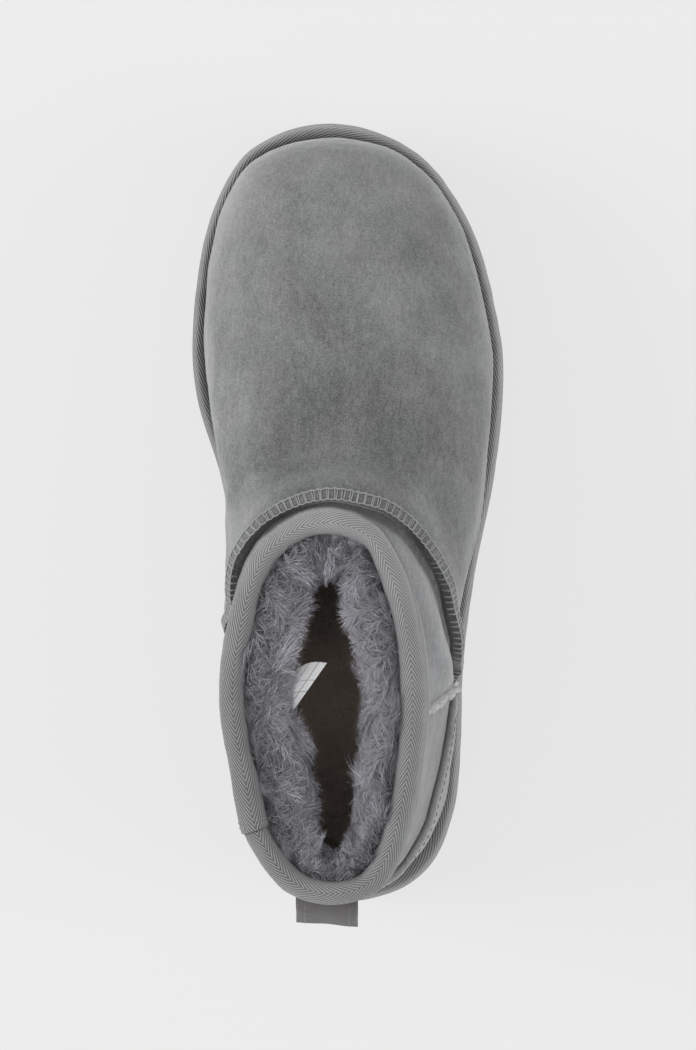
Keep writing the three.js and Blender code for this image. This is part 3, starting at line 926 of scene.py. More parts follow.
def overcast(line, side, reach, tall, thickness, pitch, radius, seed, sunk=0.0):
    """Pairs of threads that leave one hole, go up the near flank of a ridge and over its
    edge, and part in a narrow V down the far one. `sunk` pulls them into the near flank."""
    draw = np.random.default_rng(seed)
    marks = even_steps(line, pitch)
    half = thickness / 2 + radius * 0.5
    sunk = np.broadcast_to(sunk, len(line))
    turn = np.linspace(0, 1, 15)
    corners = [0, 0.3, 0.38, 0.62, 0.7, 1]
    paths, hints = [], []
    per_stitch = np.diff(marks).mean()
    for mark in marks:
        hole = mark + draw.normal(0, 0.08) * per_stitch
        for lean in (draw.normal(0.0, 0.1), draw.normal(0.45, 0.13)):
            index = np.clip(hole + lean * per_stitch * turn, 0, len(line) - 1)
            up = np.interp(turn, corners, [0.02, 0.8, 1.05, 1.05, 0.8, 0.02])
            out = np.interp(turn, corners, [-1, -1, -0.9, 0.9, 1, 1]) * half
            out = np.where(up < 0.9, np.maximum(out, -half * (1 - sunk[int(mark)])), out)
            foot, across, rise = (at_index(values, index) for values in (line, side, reach))
            high = at_index(tall[:, None], index)
            paths.append(foot + across * out[:, None] + rise * up[:, None] * high)
            hints.append(np.cross(across[7], rise[7]))
    return thread_bodies(paths, radius, hints)


def edging(line, side, reach, tall, out, up, radius, pitch):
    """The looper thread along a ridge, pulled into small waves by the stitches."""
    index = np.linspace(0, len(line) - 1, len(line) * 2)
    foot, across, rise = (at_index(values, index) for values in (line, side, reach))
    high = at_index(tall[:, None], index)[:, 0]
    pull = np.cos(run_along(foot) / pitch * TURN) * 0.16
    path = foot + across * (out + pull)[:, None] + rise * (up * high)[:, None]
    return thread_bodies([path], radius, [rise])


near_flank = 0.5 * smoothstep(np.cos(ridge_angle), 0.55, 0.8)
bodies = overcast(*ridge_frame, RIDGE_THICKNESS, STITCH_PITCH, THREAD, 41, near_flank)
for out in (-0.46, 0.5):
    bodies += edging(*ridge_frame, out * RIDGE_THICKNESS, 1.0, 0.27, STITCH_PITCH)
points, faces = join_bodies(bodies)
vamp_seam_thread = make_mesh("vamp_seam_thread", points, faces, seam_thread)
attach(vamp_seam_thread, "root")

# ---- Side seams and back seam ---------------------------------------------------------
# The shaft front, the vamp and the shaft back meet at a side seam on each side, and the
# back panel is closed behind the heel. Their raw edges stand out a little, pale and ragged,
# and the back one is overcast.
pale_edge = make_suede_finish("pale_edge", (0.2, 0.201, 0.204), (0.82, 0.824, 0.83), 7)
SEAM_STEPS = 260
climb = np.linspace(0.985, 0.05, SEAM_STEPS)
Upright = namedtuple("Upright", "name angle height thickness ragged")
level = np.zeros(SEAM_STEPS)
for number, seam in enumerate((
    Upright("side_seam_medial", side_seam_angle(SIDE_SEAM_MEDIAL, climb, 1), 2.0, 1.7, 0.4),
    Upright("side_seam_lateral", side_seam_angle(SIDE_SEAM_LATERAL, climb, -1), 2.1, 1.7, 0.4),
    Upright("back_seam", np.full(SEAM_STEPS, math.pi), 1.5, 2.6, 0.15),
)):
    body, *seam_lines = make_ridge(
        seam.angle, climb, seam.height, seam.thickness, level, 50 + number, seam.ragged
    )
    body += 0.12 * seam.ragged / 0.4 * swell(body, 1.3, 56 + number)[..., None]
    bodies = [body]
    if seam.name == "back_seam":
        bodies += overcast(*seam_lines, 2.6, 2.9, 0.2, 60)
    points, faces = join_bodies(bodies)
    piece = make_mesh(seam.name, points, faces, pale_edge, brushing=np.zeros(len(points)))
    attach(piece, "root")

# ---- Heel counter ---------------------------------------------------------------------
# A separate piece of thick suede wrapped round the heel from side seam to side seam. It is
# glued and sewn on top of the shaft back, so that its cut edge stands proud.
COUNTER_FROM, COUNTER_TO, COUNTER_LEAN = 118, 242, 0.12
COUNTER_FOOT, COUNTER_SIDE, COUNTER_BACK, COUNTER_THICKNESS = 2.6, 23, 55, 2.3


def climb_to(angle, height):
    """How far along the skin it has climbed to a height above the sole."""
    low, high = np.zeros_like(angle), np.ones_like(angle)
    foot = feather_point(angle)[..., 2]
    for _ in range(18):
        middle = (low + high) / 2
        over = skin_point(angle, middle)[..., 2] - foot > height
        low, high = np.where(over, low, middle), np.where(over, middle, high)
    return low


def counter_place(across, up):
    """Angle and climb at shares across and up the counter."""
    hump = np.sin(math.pi * np.clip(across, 0, 1)) ** 0.8
    top = COUNTER_SIDE + (COUNTER_BACK - COUNTER_SIDE) * hump
    height = COUNTER_FOOT + (top - COUNTER_FOOT) * up
    first = COUNTER_FROM - COUNTER_LEAN * height
    last = COUNTER_TO + COUNTER_LEAN * height
    angle = np.radians(first + (last - first) * across)
    return angle, climb_to(angle, height)


def flat_ends(rows, width):
    """Quads that close the two ends of a body swept with looped sections `width` points long."""
    k = np.arange(width // 2 - 1)
    first = np.stack([k, k + 1, width - 2 - k, width - 1 - k], -1)
    return np.concatenate([first[:, ::-1], first + (rows - 1) * width])


COUNTER_STEPS, COUNTER_ROWS = 150, 36
counter_across = np.linspace(0, 1, COUNTER_STEPS)[:, None]
counter_up = np.linspace(0, 1, COUNTER_ROWS)
angle, t = counter_place(*np.broadcast_arrays(counter_across, counter_up[None]))
outer = skin_surface(angle, t, COUNTER_THICKNESS + 0.35)
rounding = np.minimum(counter_up * 40, 1) * np.minimum((1 - counter_up) * 26, 1)
sides = np.minimum(np.minimum(counter_across, 1 - counter_across) * 90, 1)
outer -= skin_normal(angle, t) * (0.7 * (1 - np.sqrt(rounding[None] * sides)))[..., None]
inner = skin_surface(angle, t, 0.2)
loop = np.concatenate([outer, inner[:, ::-1]], 1)
counter_faces, _ = lattice(*loop.shape[:2], wrap_columns=True)
counter_faces = np.concatenate([counter_faces, flat_ends(*loop.shape[:2])])
counter_suede = make_suede_finish("counter_suede", (0.09, 0.091, 0.093), (0.31, 0.313, 0.318), 3)
edge_tone = 0.22 * np.exp(-(((1 - counter_up) * 14) ** 2))
edge_tone = np.broadcast_to(np.concatenate([edge_tone, edge_tone[::-1]]), loop.shape[:2])
heel_counter = make_mesh("heel_counter", loop, counter_faces, counter_suede, brushing=edge_tone)
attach(heel_counter, "root")
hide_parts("heel_counter")


def running_stitch(line, normal, pitch, length, radius):
    """Short threads that dip in and out of the cloth along a line on its surface."""
    per_mm = (len(line) - 1) / np.linalg.norm(np.diff(line, axis=0), axis=-1).sum()
    arch = np.array([-0.35, 0.02, 0.2, 0.24, 0.2, 0.02, -0.35])[:, None]
    paths, hints = [], []
    for mark in even_steps(line, pitch)[1:-1]:
        index = np.clip(mark + np.linspace(-0.5, 0.5, 7) * length * per_mm, 0, len(line) - 1)
        paths.append(at_index(line, index) + at_index(normal, index) * arch)
        hints.append(normal[int(mark)])
    return thread_bodies(paths, radius, hints, 5)


stitch_across, stitch_up = np.linspace(0.015, 0.985, 500), np.linspace(0.05, 0.9, 90)
bodies = []
for across, up in (
    (stitch_across, np.full_like(stitch_across, 0.9)),
    (np.full_like(stitch_up, 0.028), stitch_up),
    (np.full_like(stitch_up, 0.972), stitch_up),
):
    row = counter_place(across, up)
    line = skin_surface(*row, COUNTER_THICKNESS + 0.3)
    bodies += running_stitch(line, skin_normal(*row), 2.9, 2.1, 0.15)
points, faces = join_bodies(bodies)
dark_thread = make_thread_finish("counter_thread", (0.07, 0.071, 0.073), (0.2, 0.202, 0.206))
counter_thread = make_mesh("heel_counter_thread", points, faces, dark_thread)
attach(counter_thread, "root")

# ---- Collar binding -------------------------------------------------------------------
# A herringbone tape folded over the raw top of the sheepskin and sewn through both sides.
# The wool under it pads it into a soft roll, and its selvage is a shade lighter.
BINDING_STEPS = 420
BINDING_WIDTH, BINDING_HEIGHT, BINDING_SKIRT, BINDING_SKIRT_FRONT = 8.2, 7.4, 6.5, 1.5
RIB_PITCH, RIB_LEAN = 0.86, math.radians(27)
JOINT, JOINT_LAP, JOINT_STEP = math.radians(129.8), math.radians(26), 0.55
at_joint = JOINT + np.array([-0.004, -0.002, 0.002, 0.004])
binding_angles = np.sort(np.concatenate([round_angles(BINDING_STEPS), at_joint]))


def make_binding():
    angle = binding_angles
    out = level_out(collar_outline, angle)
    rim = rim_point(angle)
    frontal = smoothstep(np.cos(angle), -0.1, 0.9)
    skirt = BINDING_SKIRT + (BINDING_SKIRT_FRONT - BINDING_SKIRT) * frontal
    height = rim_height(angle) - feather_point(angle)[:, 2] - skirt
    t = climb_to(angle, height)
    hem = skin_point(angle, t)
    hem_normal = skin_normal(angle, t)
    off_rim = lambda away, up: rim + out * away + np.array([0, 0, up])
    off_hem = lambda away: hem + hem_normal * away
    proud = BINDING_SKIN + GAP
    inside = proud - BINDING_WIDTH
    side = (off_hem(proud) + off_rim(proud, 0)) / 2 + out * 0.3
    crown = [
        (proud - 0.1, 0.3),
        (0.65 * BINDING_SKIN, 0.66),
        (-0.12 * BINDING_WIDTH, 0.93),
        (-0.32 * BINDING_WIDTH, 1),
        (-0.55 * BINDING_WIDTH, 0.93),
        (inside + 0.5, 0.62),
        (inside, 0.3),
    ]
    under = [(inside + 0.2, -2.5), (inside + 0.8, -3.4), (inside + 1.6, -2.5)]
    under += [(inside + 1.6, 1.0), (0.8 * proud - 1.2, 1.0), (0.45, 0.2)]
    knots = [off_hem(proud - 0.5), off_hem(proud), side, off_rim(proud, 0)]
    knots += [off_rim(away, share * BINDING_HEIGHT) for away, share in crown]
    knots += [off_rim(away, up) for away, up in under]
    knots.append(off_hem(0.5))
    return np.stack(knots, 1)


def smooth_section(points, finer):
    """The same closed sections with `finer` points for each one, on a smooth curve."""
    count = points.shape[1]
    curve = []
    for i in range(count):
        before, here, ahead, beyond = (points[:, (i + k) % count] for k in (-1, 0, 1, 2))
        bend = before - 2.5 * here + 2 * ahead - 0.5 * beyond
        twist = 1.5 * (here - ahead) + 0.5 * (beyond - before)
        for part in np.arange(finer) / finer:
            point = here + 0.5 * part * (ahead - before)
            curve.append(point + part * part * bend + part**3 * twist)
    return np.stack(curve, 1)


binding_points = smooth_section(make_binding(), 3)
binding_away = unit(binding_points - binding_points.mean(1, keepdims=True))
pucker = 0.22 * swell(binding_points, 26, 71) + 0.1 * swell(binding_points, 7, 72)
lap = smoothstep(binding_angles, JOINT - JOINT_LAP, JOINT - JOINT_LAP * 0.6)
lap = lap * (binding_angles < JOINT)
lap_swell = 0.9 + 0.4 * smoothstep(binding_angles, JOINT - 0.12, JOINT)
pucker = pucker + (JOINT_STEP * lap * lap_swell)[:, None]
binding_points = binding_points + binding_away * pucker[..., None]


def make_herringbone_finish():
    material, tree = new_finish("herringbone")
    along, across = cloth_place(tree)
    spine = abs(across - HERRINGBONE_SPINE)
    lean = math.cos(RIB_LEAN), math.sin(RIB_LEAN)
    wander = grain(tree, 4, 2) * 0.45
    ribs = ((spine * lean[0] + along * lean[1]) / RIB_PITCH + wander).wave()
    yarns = ((along * lean[0] - spine * lean[1]) / 0.5).wave()
    groove = spine.between(0.0, 0.35)
    selvage = across.between(SELVAGE, SELVAGE + 0.5)
    selvage = selvage * (1 - across.between(SELVAGE + 1.4, SELVAGE + 1.8))
    fuzz, cloudy = grain(tree, 0.3, 2), grain(tree, 8, 3)
    # The tone attribute read here carries painted light and shade.
    tone = measured(tree, "brushing")
    thread = ribs * (yarns * 0.25 + 0.75) * (groove * 0.35 + 0.65)
    share = thread * 0.66 + cloudy * 0.16 + fuzz * 0.18 + tone
    colour = blend_colours(tree, (0.048, 0.049, 0.051), (0.43, 0.434, 0.44), share)
    colour = blend_colours(tree, colour, (0.42, 0.425, 0.43), selvage * 0.5)
    roughness, height = fuzz * 0.1 + 0.8, thread + fuzz * 0.3
    close_finish(tree, colour, roughness, height, 0.26, sheen_weight=0.3, sheen_roughness=0.45)
    return material


binding_cloth = measure_cloth(binding_points)
HERRINGBONE_SPINE = float(binding_cloth[0, 21, 1])
SELVAGE = float(binding_cloth[0, 3, 1])
binding_faces, binding_corners = lattice(*binding_points.shape[:2], True, True)
rows = np.arange(binding_points.shape[1])
binding_side = np.sin(binding_angles)
# Painted light on the front of the binding, painted shade on its sides (more on the medial side)
# and on its inner face and underside.
binding_light_and_shade = 0.17 * np.cos(binding_angles / 2) ** 4
binding_light_and_shade -= 0.15 * np.clip(binding_side, 0, 1)
binding_light_and_shade -= 0.05 * np.clip(-binding_side, 0, 1)
joint_shadow = 0.4 * np.exp(-(((binding_angles - JOINT - 0.004) / 0.004) ** 2))
binding_light_and_shade = binding_light_and_shade[:, None] - 0.22 * smoothstep(rows, 25, 30)[None] - joint_shadow[:, None]
collar_binding = make_mesh(
    "collar_binding",
    binding_points,
    binding_faces,
    make_herringbone_finish(),
    binding_corners,
    binding_cloth,
    brushing=binding_light_and_shade,
)
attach(collar_binding, "root")
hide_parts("collar_binding")

bodies = []
for back in (0.035, 0.06):
    row = np.argmin(np.abs(binding_angles - JOINT + back))
    bodies += running_stitch(binding_points[row, 3:30], binding_away[row, 3:30], 1.9, 1.2, 0.16)
points, faces = join_bodies(bodies)
binding_thread = make_mesh("binding_thread", points, faces, seam_thread)
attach(binding_thread, "root")

# ---- Pull tab -------------------------------------------------------------------------
# A short strip of plain woven tape folded in two, its ends caught under the binding at the
# back. Both sides are sewn down, and the fold droops away from the heel.
TAB_X, TAB_WIDTH, TAB_REACH, TAB_DROP, TAB_THICKNESS = 7.0, 20.5, 7.6, 17, 3.2
TAB_SLANT, TAB_STEPS = math.radians(-5), 44
tab_back = COLLAR_BACK.y + GAP
tab_top = float(rim_height(np.array(math.pi))) + 1


def tab_middle(part):
    """The tab's middle line, from under the binding to the fold, as (back, up) pairs."""
    back = -1.6 * (1 - part) ** 3 + 1.4 * TAB_REACH * part * (1 - part)
    back = back + (TAB_REACH - 1.4) * part**2
    up = tab_top - 1.6 - (TAB_DROP - 2) * part**2
    return np.stack([back, up], -1)


def make_tab():
    down = np.linspace(0, 1, 26)
    line = tab_middle(down)
    along = unit(np.gradient(line, axis=0))
    off = np.stack([-along[:, 1], along[:, 0]], -1)
    half = TAB_THICKNESS / 2 * np.interp(down, [0, 0.6, 0.93, 1], [0.75, 0.85, 1, 0.9])
    front, rear = line + off * half[:, None], line - off * half[:, None]
    turn = np.linspace(0, math.pi, 9)[1:-1]
    fold = line[-1] + np.cos(turn)[:, None] * off[-1] * half[-1]
    fold = fold + np.sin(turn)[:, None] * along[-1] * half[-1]
    loop = np.concatenate([front, fold, rear[::-1]])
    x = np.linspace(-0.5, 0.5, TAB_STEPS)
    body = np.zeros((TAB_STEPS, len(loop), 3))
    body[..., 0] = x[:, None] * TAB_WIDTH * (1 + 0.012 * np.sin(np.arange(len(loop)) * 0.35))
    body[..., 1], body[..., 2] = loop[:, 0], loop[:, 1]
    return body


tab_points = make_tab()
tab_points[..., 1] += 0.3 * swell(tab_points, 11, 81)
tab_cloth = measure_cloth(tab_points, False, True)
tab_hang = np.clip(tab_points[..., 1] / TAB_REACH, 0, 1)
across_heel = collar_outline(np.linspace(math.pi * 0.75, math.pi * 1.25, 200))[::-1]
tucked = np.interp(TAB_X + tab_points[..., 0], *across_heel.T) - COLLAR_BACK.y
slant = tab_points[..., 0] * math.sin(TAB_SLANT) * tab_hang
tab_points[..., 1] += tab_back + tucked * (1 - tab_hang) + slant
tab_points[..., 0] += TAB_X
tab_faces, tab_corners = lattice(*tab_points.shape[:2], False, True)


def make_plain_tape_finish():
    material, tree = new_finish("tab_tape")
    along, across = cloth_place(tree)
    warp, weft = (along / 0.9).wave(), (across / 0.62).wave()
    fuzz, cloudy = grain(tree, 0.3, 2), grain(tree, 5, 3)
    weave = warp * weft + (1 - warp) * (1 - weft)
    side = abs(along - TAB_WIDTH / 2).between(TAB_WIDTH / 2 - 0.8, TAB_WIDTH / 2 - 0.3)
    share = weave * 0.4 + cloudy * 0.3 + fuzz * 0.3 + side * 0.5
    colour = blend_colours(tree, (0.05, 0.048, 0.047), (0.165, 0.158, 0.156), share)
    close_finish(tree, colour, fuzz * 0.1 + 0.82, weave + fuzz * 0.4, 0.2, sheen_weight=0.25)
    return material


closing = flat_ends(*tab_points.shape[:2])
closing_corners = np.stack(np.divmod(closing, tab_points.shape[1]), -1)
pull_tab = make_mesh(
    "pull_tab",
    tab_points,
    np.concatenate([tab_faces, closing]),
    make_plain_tape_finish(),
    np.concatenate([tab_corners, closing_corners]),
    tab_cloth,
)
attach(pull_tab, "root")
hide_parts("pull_tab")

tab_off = unit(np.cross(np.gradient(tab_points, axis=1), np.gradient(tab_points, axis=0)))
bodies = []
for row in (6, TAB_STEPS - 7):
    bodies += running_stitch(tab_points[row, 2:25], tab_off[row, 2:25], 2.6, 1.7, 0.18)
points, faces = join_bodies(bodies)
pale_thread = make_thread_finish("tab_thread", (0.2, 0.19, 0.185), (0.42, 0.4, 0.39))
tab_thread = make_mesh("pull_tab_thread", points, faces, pale_thread)
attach(tab_thread, "root")

# ---- Insole -----------------------------------------------------------------------------
# A loose sheepskin footbed, cut to the inside of the boot and lying on the foam. Its wool
# is painted dark deep in the boot under the vamp, as painted shade, and darker under the heel.
# Its light colour is brighter than the wool, painted light for the bottom of the boot.
WALL_FEATHER, INSOLE_STEPS = 8, 150
insole_angles = round_angles(INSOLE_STEPS)


def insole_ring(draw_in, up):
    distance = lip_width(insole_angles) + 2 * GAP + WALL_FEATHER + draw_in
    return ring(insole_angles, distance, lambda y: sole_top(y) + GAP + up)


def make_wool_finish(name, dark, light, depth):
    material, tree = new_finish(name)
    # The strand attribute carries painted light and shade, with some tone that differs at random.
    strand = measured(tree, "strand")
    locks, fibres = grain(tree, 3.2, 3), grain(tree, 0.4, 3, (1, 1, 2.5))
    share = strand * 0.62 + locks * 0.22 + fibres * 0.2 - 0.03
    colour = blend_colours(tree, dark, light, share)
    roughness, height = fibres * 0.1 + 0.8, locks + fibres
    close_finish(tree, colour, roughness, height, depth, sheen_weight=0.35, sheen_roughness=0.5)
    return material


# The light end is brighter than the wool itself: painted light for the bottom of the boot.
insole_wool = make_wool_finish("insole_wool", (0.38, 0.32, 0.28), (1.0, 0.8, 0.65), 0.8)
shrinks = [0.6, 0.6, 1.2, 2.6, 6, 10, 14]
heights = [0, 2.5, 4.2, 5, 5, 4.8, 4.8]
insole_rings = np.stack([insole_ring(a, b) for a, b in zip(shrinks, heights)])
insole_rings[3:, :, 2] += 0.5 * swell(insole_rings[3:], 7, 91)
insole_faces, _ = lattice(len(shrinks), INSOLE_STEPS, wrap_columns=True)
insole_under = cap_across(INSOLE_STEPS, 0, False)
insole_top = cap_across(INSOLE_STEPS, (len(shrinks) - 1) * INSOLE_STEPS, True)
insole_faces = np.concatenate([insole_faces[:, ::-1], insole_under, insole_top])
insole_y = insole_rings[..., 1]
# Darker under the heel.
heel_darkening = 1 - 0.7 * smoothstep(insole_y, 70, 100)
# Painted shade deep in the boot, ahead of the arch.
insole_shade = 1.35 * smoothstep(insole_y, 34, 58) * heel_darkening - 0.05
insole = make_mesh("insole", insole_rings, insole_faces, insole_wool, strand=insole_shade)
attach(insole, "root")
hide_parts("insole")

# ---- Wool ---------------------------------------------------------------------------------
# The sheep's own wool, left on the inside of the hide and sheared to a deep, even pile. It
# swells in over the edge of the binding, parts into locks, and leaves a narrow slot.
Reach = namedtuple("Reach", "degrees reach")
WOOL_REACH_MEDIAL = [
    Reach(0, 16.5),
    Reach(30, 14.8),
    Reach(52, 15.5),
    Reach(72, 15.6),
    Reach(107, 16),
    Reach(121, 17.6),
    Reach(134, 17),
    Reach(150, 13),
    Reach(166, 9.5),
    Reach(180, 8),
]
WOOL_REACH_LATERAL = [
    Reach(30, 14.6),
    Reach(52, 15.2),
    Reach(72, 14),
    Reach(87, 10.5),
    Reach(97, 12.6),
    Reach(120, 11.6),
    Reach(134, 10.5),
    Reach(150, 9.5),
    Reach(166, 8.5),
]
wool_reach = round_foot(WOOL_REACH_MEDIAL, WOOL_REACH_LATERAL, "reach")
BINDING_INSIDE = BINDING_WIDTH - BINDING_SKIN - GAP
LINING_STEPS, OVER_TOP, DOWN_WALL = 320, 22, 88


def wool_pile(angle, run, depth=1.0):
    """The pile's surface, `run` millimetres from the binding: in over the top, then down
    the inside of the boot. A depth below 1 is nearer to the hide."""
    angle, run = np.broadcast_arrays(np.asarray(angle, float), np.asarray(run, float))
    over = np.clip(run / OVER_TOP, 0, 1) * math.pi / 2
    below = np.clip((run - OVER_TOP) / DOWN_WALL, 0, 1)
    reach = wool_reach(angle)
    sunk = 5 * (1 - depth)
    in_ = BINDING_INSIDE - 1.0 + (reach + 1.0) * np.sin(over) ** 0.9 - sunk * np.sin(over)
    drop = 10.0 * (1 - np.cos(over)) ** 1.3 - 1.5 * np.sin(2 * over)
    drop = drop + 6 * (1 - depth) * np.cos(over)
    flat = inset(collar_outline, angle, BINDING_SKIN + GAP + in_)
    top = lift(flat, rim_height(angle) + 4.4 - drop)
    climb = 1 - 0.9 * below
    thickness = BINDING_INSIDE + (reach - sunk) * (1 - 0.45 * below)
    wall = skin_point(angle, climb) - skin_normal(angle, climb) * thickness[..., None]
    wall[..., 2] = np.minimum(wall[..., 2], top[..., 2] + 1)
    side = below[..., None] ** 0.8
    return top * (1 - side) + wall * side


# Strand tones run between these two colours and carry painted light and shade.
wool_dark, wool_light = (0.042, 0.041, 0.048), (0.76, 0.742, 0.81)
lining_wool = make_wool_finish("lining_wool", wool_dark, wool_light, 1.0)
lining_angles = round_angles(LINING_STEPS)[:, None]
lining_runs = [np.linspace(0, OVER_TOP, 34), OVER_TOP + DOWN_WALL * np.linspace(0, 1, 27)[1:]]
lining_runs = np.concatenate(lining_runs)[None]
lining = wool_pile(lining_angles, lining_runs, 0.55)
inward = unit(np.cross(np.gradient(lining, axis=0), np.gradient(lining, axis=1)))
clumps = 0.5 * swell(lining, 7, 101) + 0.35 * swell(lining, 3.2, 102)
lining = lining + inward * clumps[..., None]
lining_faces, _ = lattice(*lining.shape[:2], wrap_rows=True)
# Painted light and shade: lighter on raised clumps, painted shade where the pile turns down into
# the boot, and the deep walls painted lighter so the bottom of the boot looks lit.
shade = 0.2 + 0.06 * clumps - 0.1 * smoothstep(lining_runs, OVER_TOP, OVER_TOP + 10)
shade = shade + 0.7 * smoothstep(lining_runs, OVER_TOP + 12, OVER_TOP + 30)
wool_lining = make_mesh("wool_lining", lining, lining_faces, lining_wool, strand=shade)
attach(wool_lining, "root")


def make_locks(name, first, last, count, seed):
    """Strands of wool between two angles, combed inward over the pile in soft swirls:
    flat, tapering, and drawn together in locks. Their colour carries painted light and shade:
    lighter on raised locks, on the crest of the pile, at the tips and towards the front,
    darker at the roots, next to the binding, down into the boot and on the medial side."""
    draw = np.random.default_rng(seed)
    angle = draw.uniform(first, last, count)
    run = draw.uniform(-1, OVER_TOP + 16, count)
    root = wool_pile(angle, run, 0.6)
    length = draw.uniform(3.5, 7.5, count)
    swirl = 0.95 * swell(root, 16, 110) + 0.6 * swell(root, 6, 111) + draw.normal(0, 0.22, count)
    lock = swell(root, 4.5, 112) + 0.6 * swell(root, 2.2, 113)
    tuft = swell(root, 11, 125)
    steps = np.linspace(0, 1, 6)
    gone = length[:, None] * steps
    depth = 0.45 + (0.5 + 0.25 * lock + 0.34 * tuft + draw.normal(0, 0.08, count))[:, None] * steps
    turn = swirl[:, None] + 0.5 * draw.normal(size=(count, 1)) * steps
    around = angle[:, None] + gone * np.sin(turn) / 34
    path = wool_pile(around, run[:, None] + gone * np.cos(turn), depth)
    bend = np.stack([swell(path, 3.0, 114 + k) for k in range(3)], -1)
    path = path + 0.4 * bend * steps[:, None]
    along = np.gradient(path, axis=1)
    across = unit(np.cross(along, draw.normal(size=(count, 1, 3))))
    width = 0.11 * draw.uniform(0.7, 1.3, (count, 1)) * np.array([1, 1, 0.95, 0.8, 0.55])
    edges = across[:, :5] * width[..., None]
    sides = np.stack([path[:, :5] - edges, path[:, :5] + edges], 2)
    points = np.concatenate([sides.reshape(count, 10, 3), path[:, 5:]], 1)
    quads = np.array([[0, 1, 3, 2], [2, 3, 5, 4], [4, 5, 7, 6], [6, 7, 9, 8], [8, 9, 10, 10]])
    faces = (np.arange(count)[:, None, None] * 11 + quads[None]).reshape(-1, 4)
    # Painted highlight on raised locks and tufts, with tone that differs at random.
    tone = 0.34 + 0.15 * swell(root, 9, 120) + 0.13 * lock + 0.11 * tuft
    tone += draw.normal(0, 0.05, count)
    # Painted highlight on the crest of the pile, painted light towards the front and painted shade
    # on the medial side.
    crest_highlight = 0.12 * np.exp(-(((run - 14) / 7) ** 2))
    tone += crest_highlight + 0.13 * np.cos(angle) - 0.04 * np.sin(angle) + 0.03
    climb = np.array([0, 0, 0.25, 0.25, 0.5, 0.5, 0.7, 0.7, 0.85, 0.85, 1.0])
    # Painted light at the strands' tips and painted shade at their roots, down into the boot and
    # next to the binding.
    strand = tone[:, None] + (climb - 0.5) * 0.35
    strand = strand - 0.2 * smoothstep(run, OVER_TOP, OVER_TOP + 10)[:, None]
    strand = strand - 0.3 * (1 - smoothstep(run, -1, 5))[:, None]
    piece = make_mesh(name, points, faces, lining_wool, strand=np.clip(strand, -0.3, 1.2))
    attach(piece, "root")


LOCK_COUNT = 15200
make_locks("wool_front", -0.95, 0.95, LOCK_COUNT, 200)
make_locks("wool_medial", 0.85, 2.35, LOCK_COUNT, 300)
make_locks("wool_lateral", 3.95, 5.4, LOCK_COUNT, 400)
make_locks("wool_heel", 2.25, 4.05, LOCK_COUNT, 500)

# ---- Size label -----------------------------------------------------------------------------
# A folded white ribbon label, sewn to the lining on the medial side so that its corner
# stands out of the wool. It carries only thin plain lines.
LABEL_CORNER, LABEL_END = (7.1, 51.0, 126), (19.8, 69.0, 125.5)
LABEL_WIDTH = 11


def thin_line(place, at, inner, outer):
    return 1 - abs(place - at).between(inner, outer)


def make_label_finish():
    material, tree = new_finish("label_ribbon")
    along, across = cloth_place(tree)
    rules = thin_line(across, 2.4, 0.06, 0.16) + thin_line(across, 5.4, 0.06, 0.16)
    bars = thin_line(along, 7.0, 0.05, 0.14) + thin_line(along, 11.5, 0.05, 0.14)
    weave = (along / 0.35).wave() * (across / 0.35).wave()
    ink = (rules + bars).between(0.0, 1.0)
    colour = blend_colours(tree, (0.98, 0.98, 0.99), (0.03, 0.03, 0.03), ink * 0.75)
    close_finish(tree, colour, weave * 0.1 + 0.5, weave, 0.05)
    return material


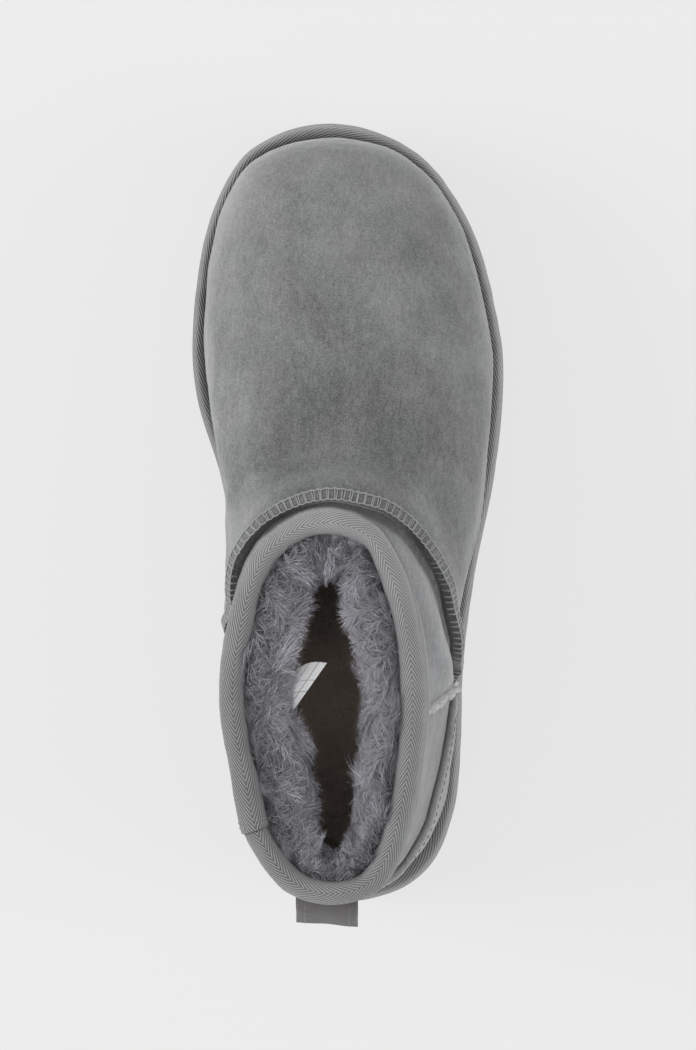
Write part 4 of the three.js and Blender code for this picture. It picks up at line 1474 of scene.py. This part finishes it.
LABEL_STEPS, LABEL_ROWS = 24, 16
along_edge, inward_share = np.meshgrid(
    np.linspace(0, 1, LABEL_STEPS), np.linspace(0, 1, LABEL_ROWS), indexing="ij"
)
label_free = np.array(LABEL_END) - np.array(LABEL_CORNER)
LABEL_LENGTH = float(np.linalg.norm(label_free))
label_top = np.array(LABEL_CORNER) + along_edge[..., None] * label_free
label_top = label_top + inward_share[..., None] * [12, 3.6, -1.0]
label_top[..., 1] -= 1.8 * np.sin(math.pi * inward_share) * (1 - along_edge)
label_top[..., 2] += 1.2 * np.sin(math.pi * along_edge) - 1.0 * inward_share**2
label_under = label_top - np.array([0, 0, 0.35])
label_points = np.concatenate([label_top.reshape(-1, 3), label_under.reshape(-1, 3)])
top_faces, top_corners = lattice(LABEL_STEPS, LABEL_ROWS)
label_faces = np.concatenate([top_faces[:, ::-1], top_faces + LABEL_STEPS * LABEL_ROWS])
label_corners = np.concatenate([top_corners[:, ::-1], top_corners])
label_cloth = np.stack([along_edge * LABEL_LENGTH, inward_share * LABEL_WIDTH], -1)
size_label = make_mesh(
    "size_label", label_points, label_faces, make_label_finish(), label_corners, label_cloth
)
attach(size_label, "root")

# ---- Floor and light ---------------------------------------------------------------------------
# A white studio sweep lit from both sides: one wide soft box beside the medial side,
# a weaker one beside the lateral side, and a pale room that fills the shadows.
FLOOR_SIZE = 6.0


def make_floor_finish():
    material, tree = new_finish("sweep")
    paper = {"Base Color": (0.13, 0.13, 0.13, 1), "Roughness": 0.9}
    glow = {"Emission Color": (1, 1, 1, 1), "Emission Strength": 0.68}
    shader = tree.node("BsdfPrincipled", {}, {**paper, **glow})
    tree.node("OutputMaterial", {}, {"Surface": shader})
    return material


bpy.ops.mesh.primitive_plane_add(size=FLOOR_SIZE)
floor = bpy.context.object
floor.name = "floor"
floor.data.materials.append(make_floor_finish())


def add_softbox(name, place, aim, size, power):
    light = bpy.data.lights.new(name, "AREA")
    light.shape, light.size, light.energy = "DISK", size, power
    box = bpy.data.objects.new(name, light)
    box.location = place
    box.rotation_euler = (Vector(aim) - Vector(place)).to_track_quat("-Z", "Y").to_euler()
    bpy.context.scene.collection.objects.link(box)


add_softbox("softbox_medial", (1.3, -0.1, 0.9), (0, 0, 0.05), 1.0, 16)
add_softbox("softbox_lateral", (-1.3, 0.2, 0.9), (0, 0, 0.05), 1.0, 8.5)
room = bpy.data.worlds.new("room")
room.use_nodes = True
background = room.node_tree.nodes["Background"]
background.inputs["Color"].default_value = (1, 1, 1, 1)
background.inputs["Strength"].default_value = 0.62
bpy.context.scene.world = room
bpy.context.scene.view_settings.view_transform = "Standard"
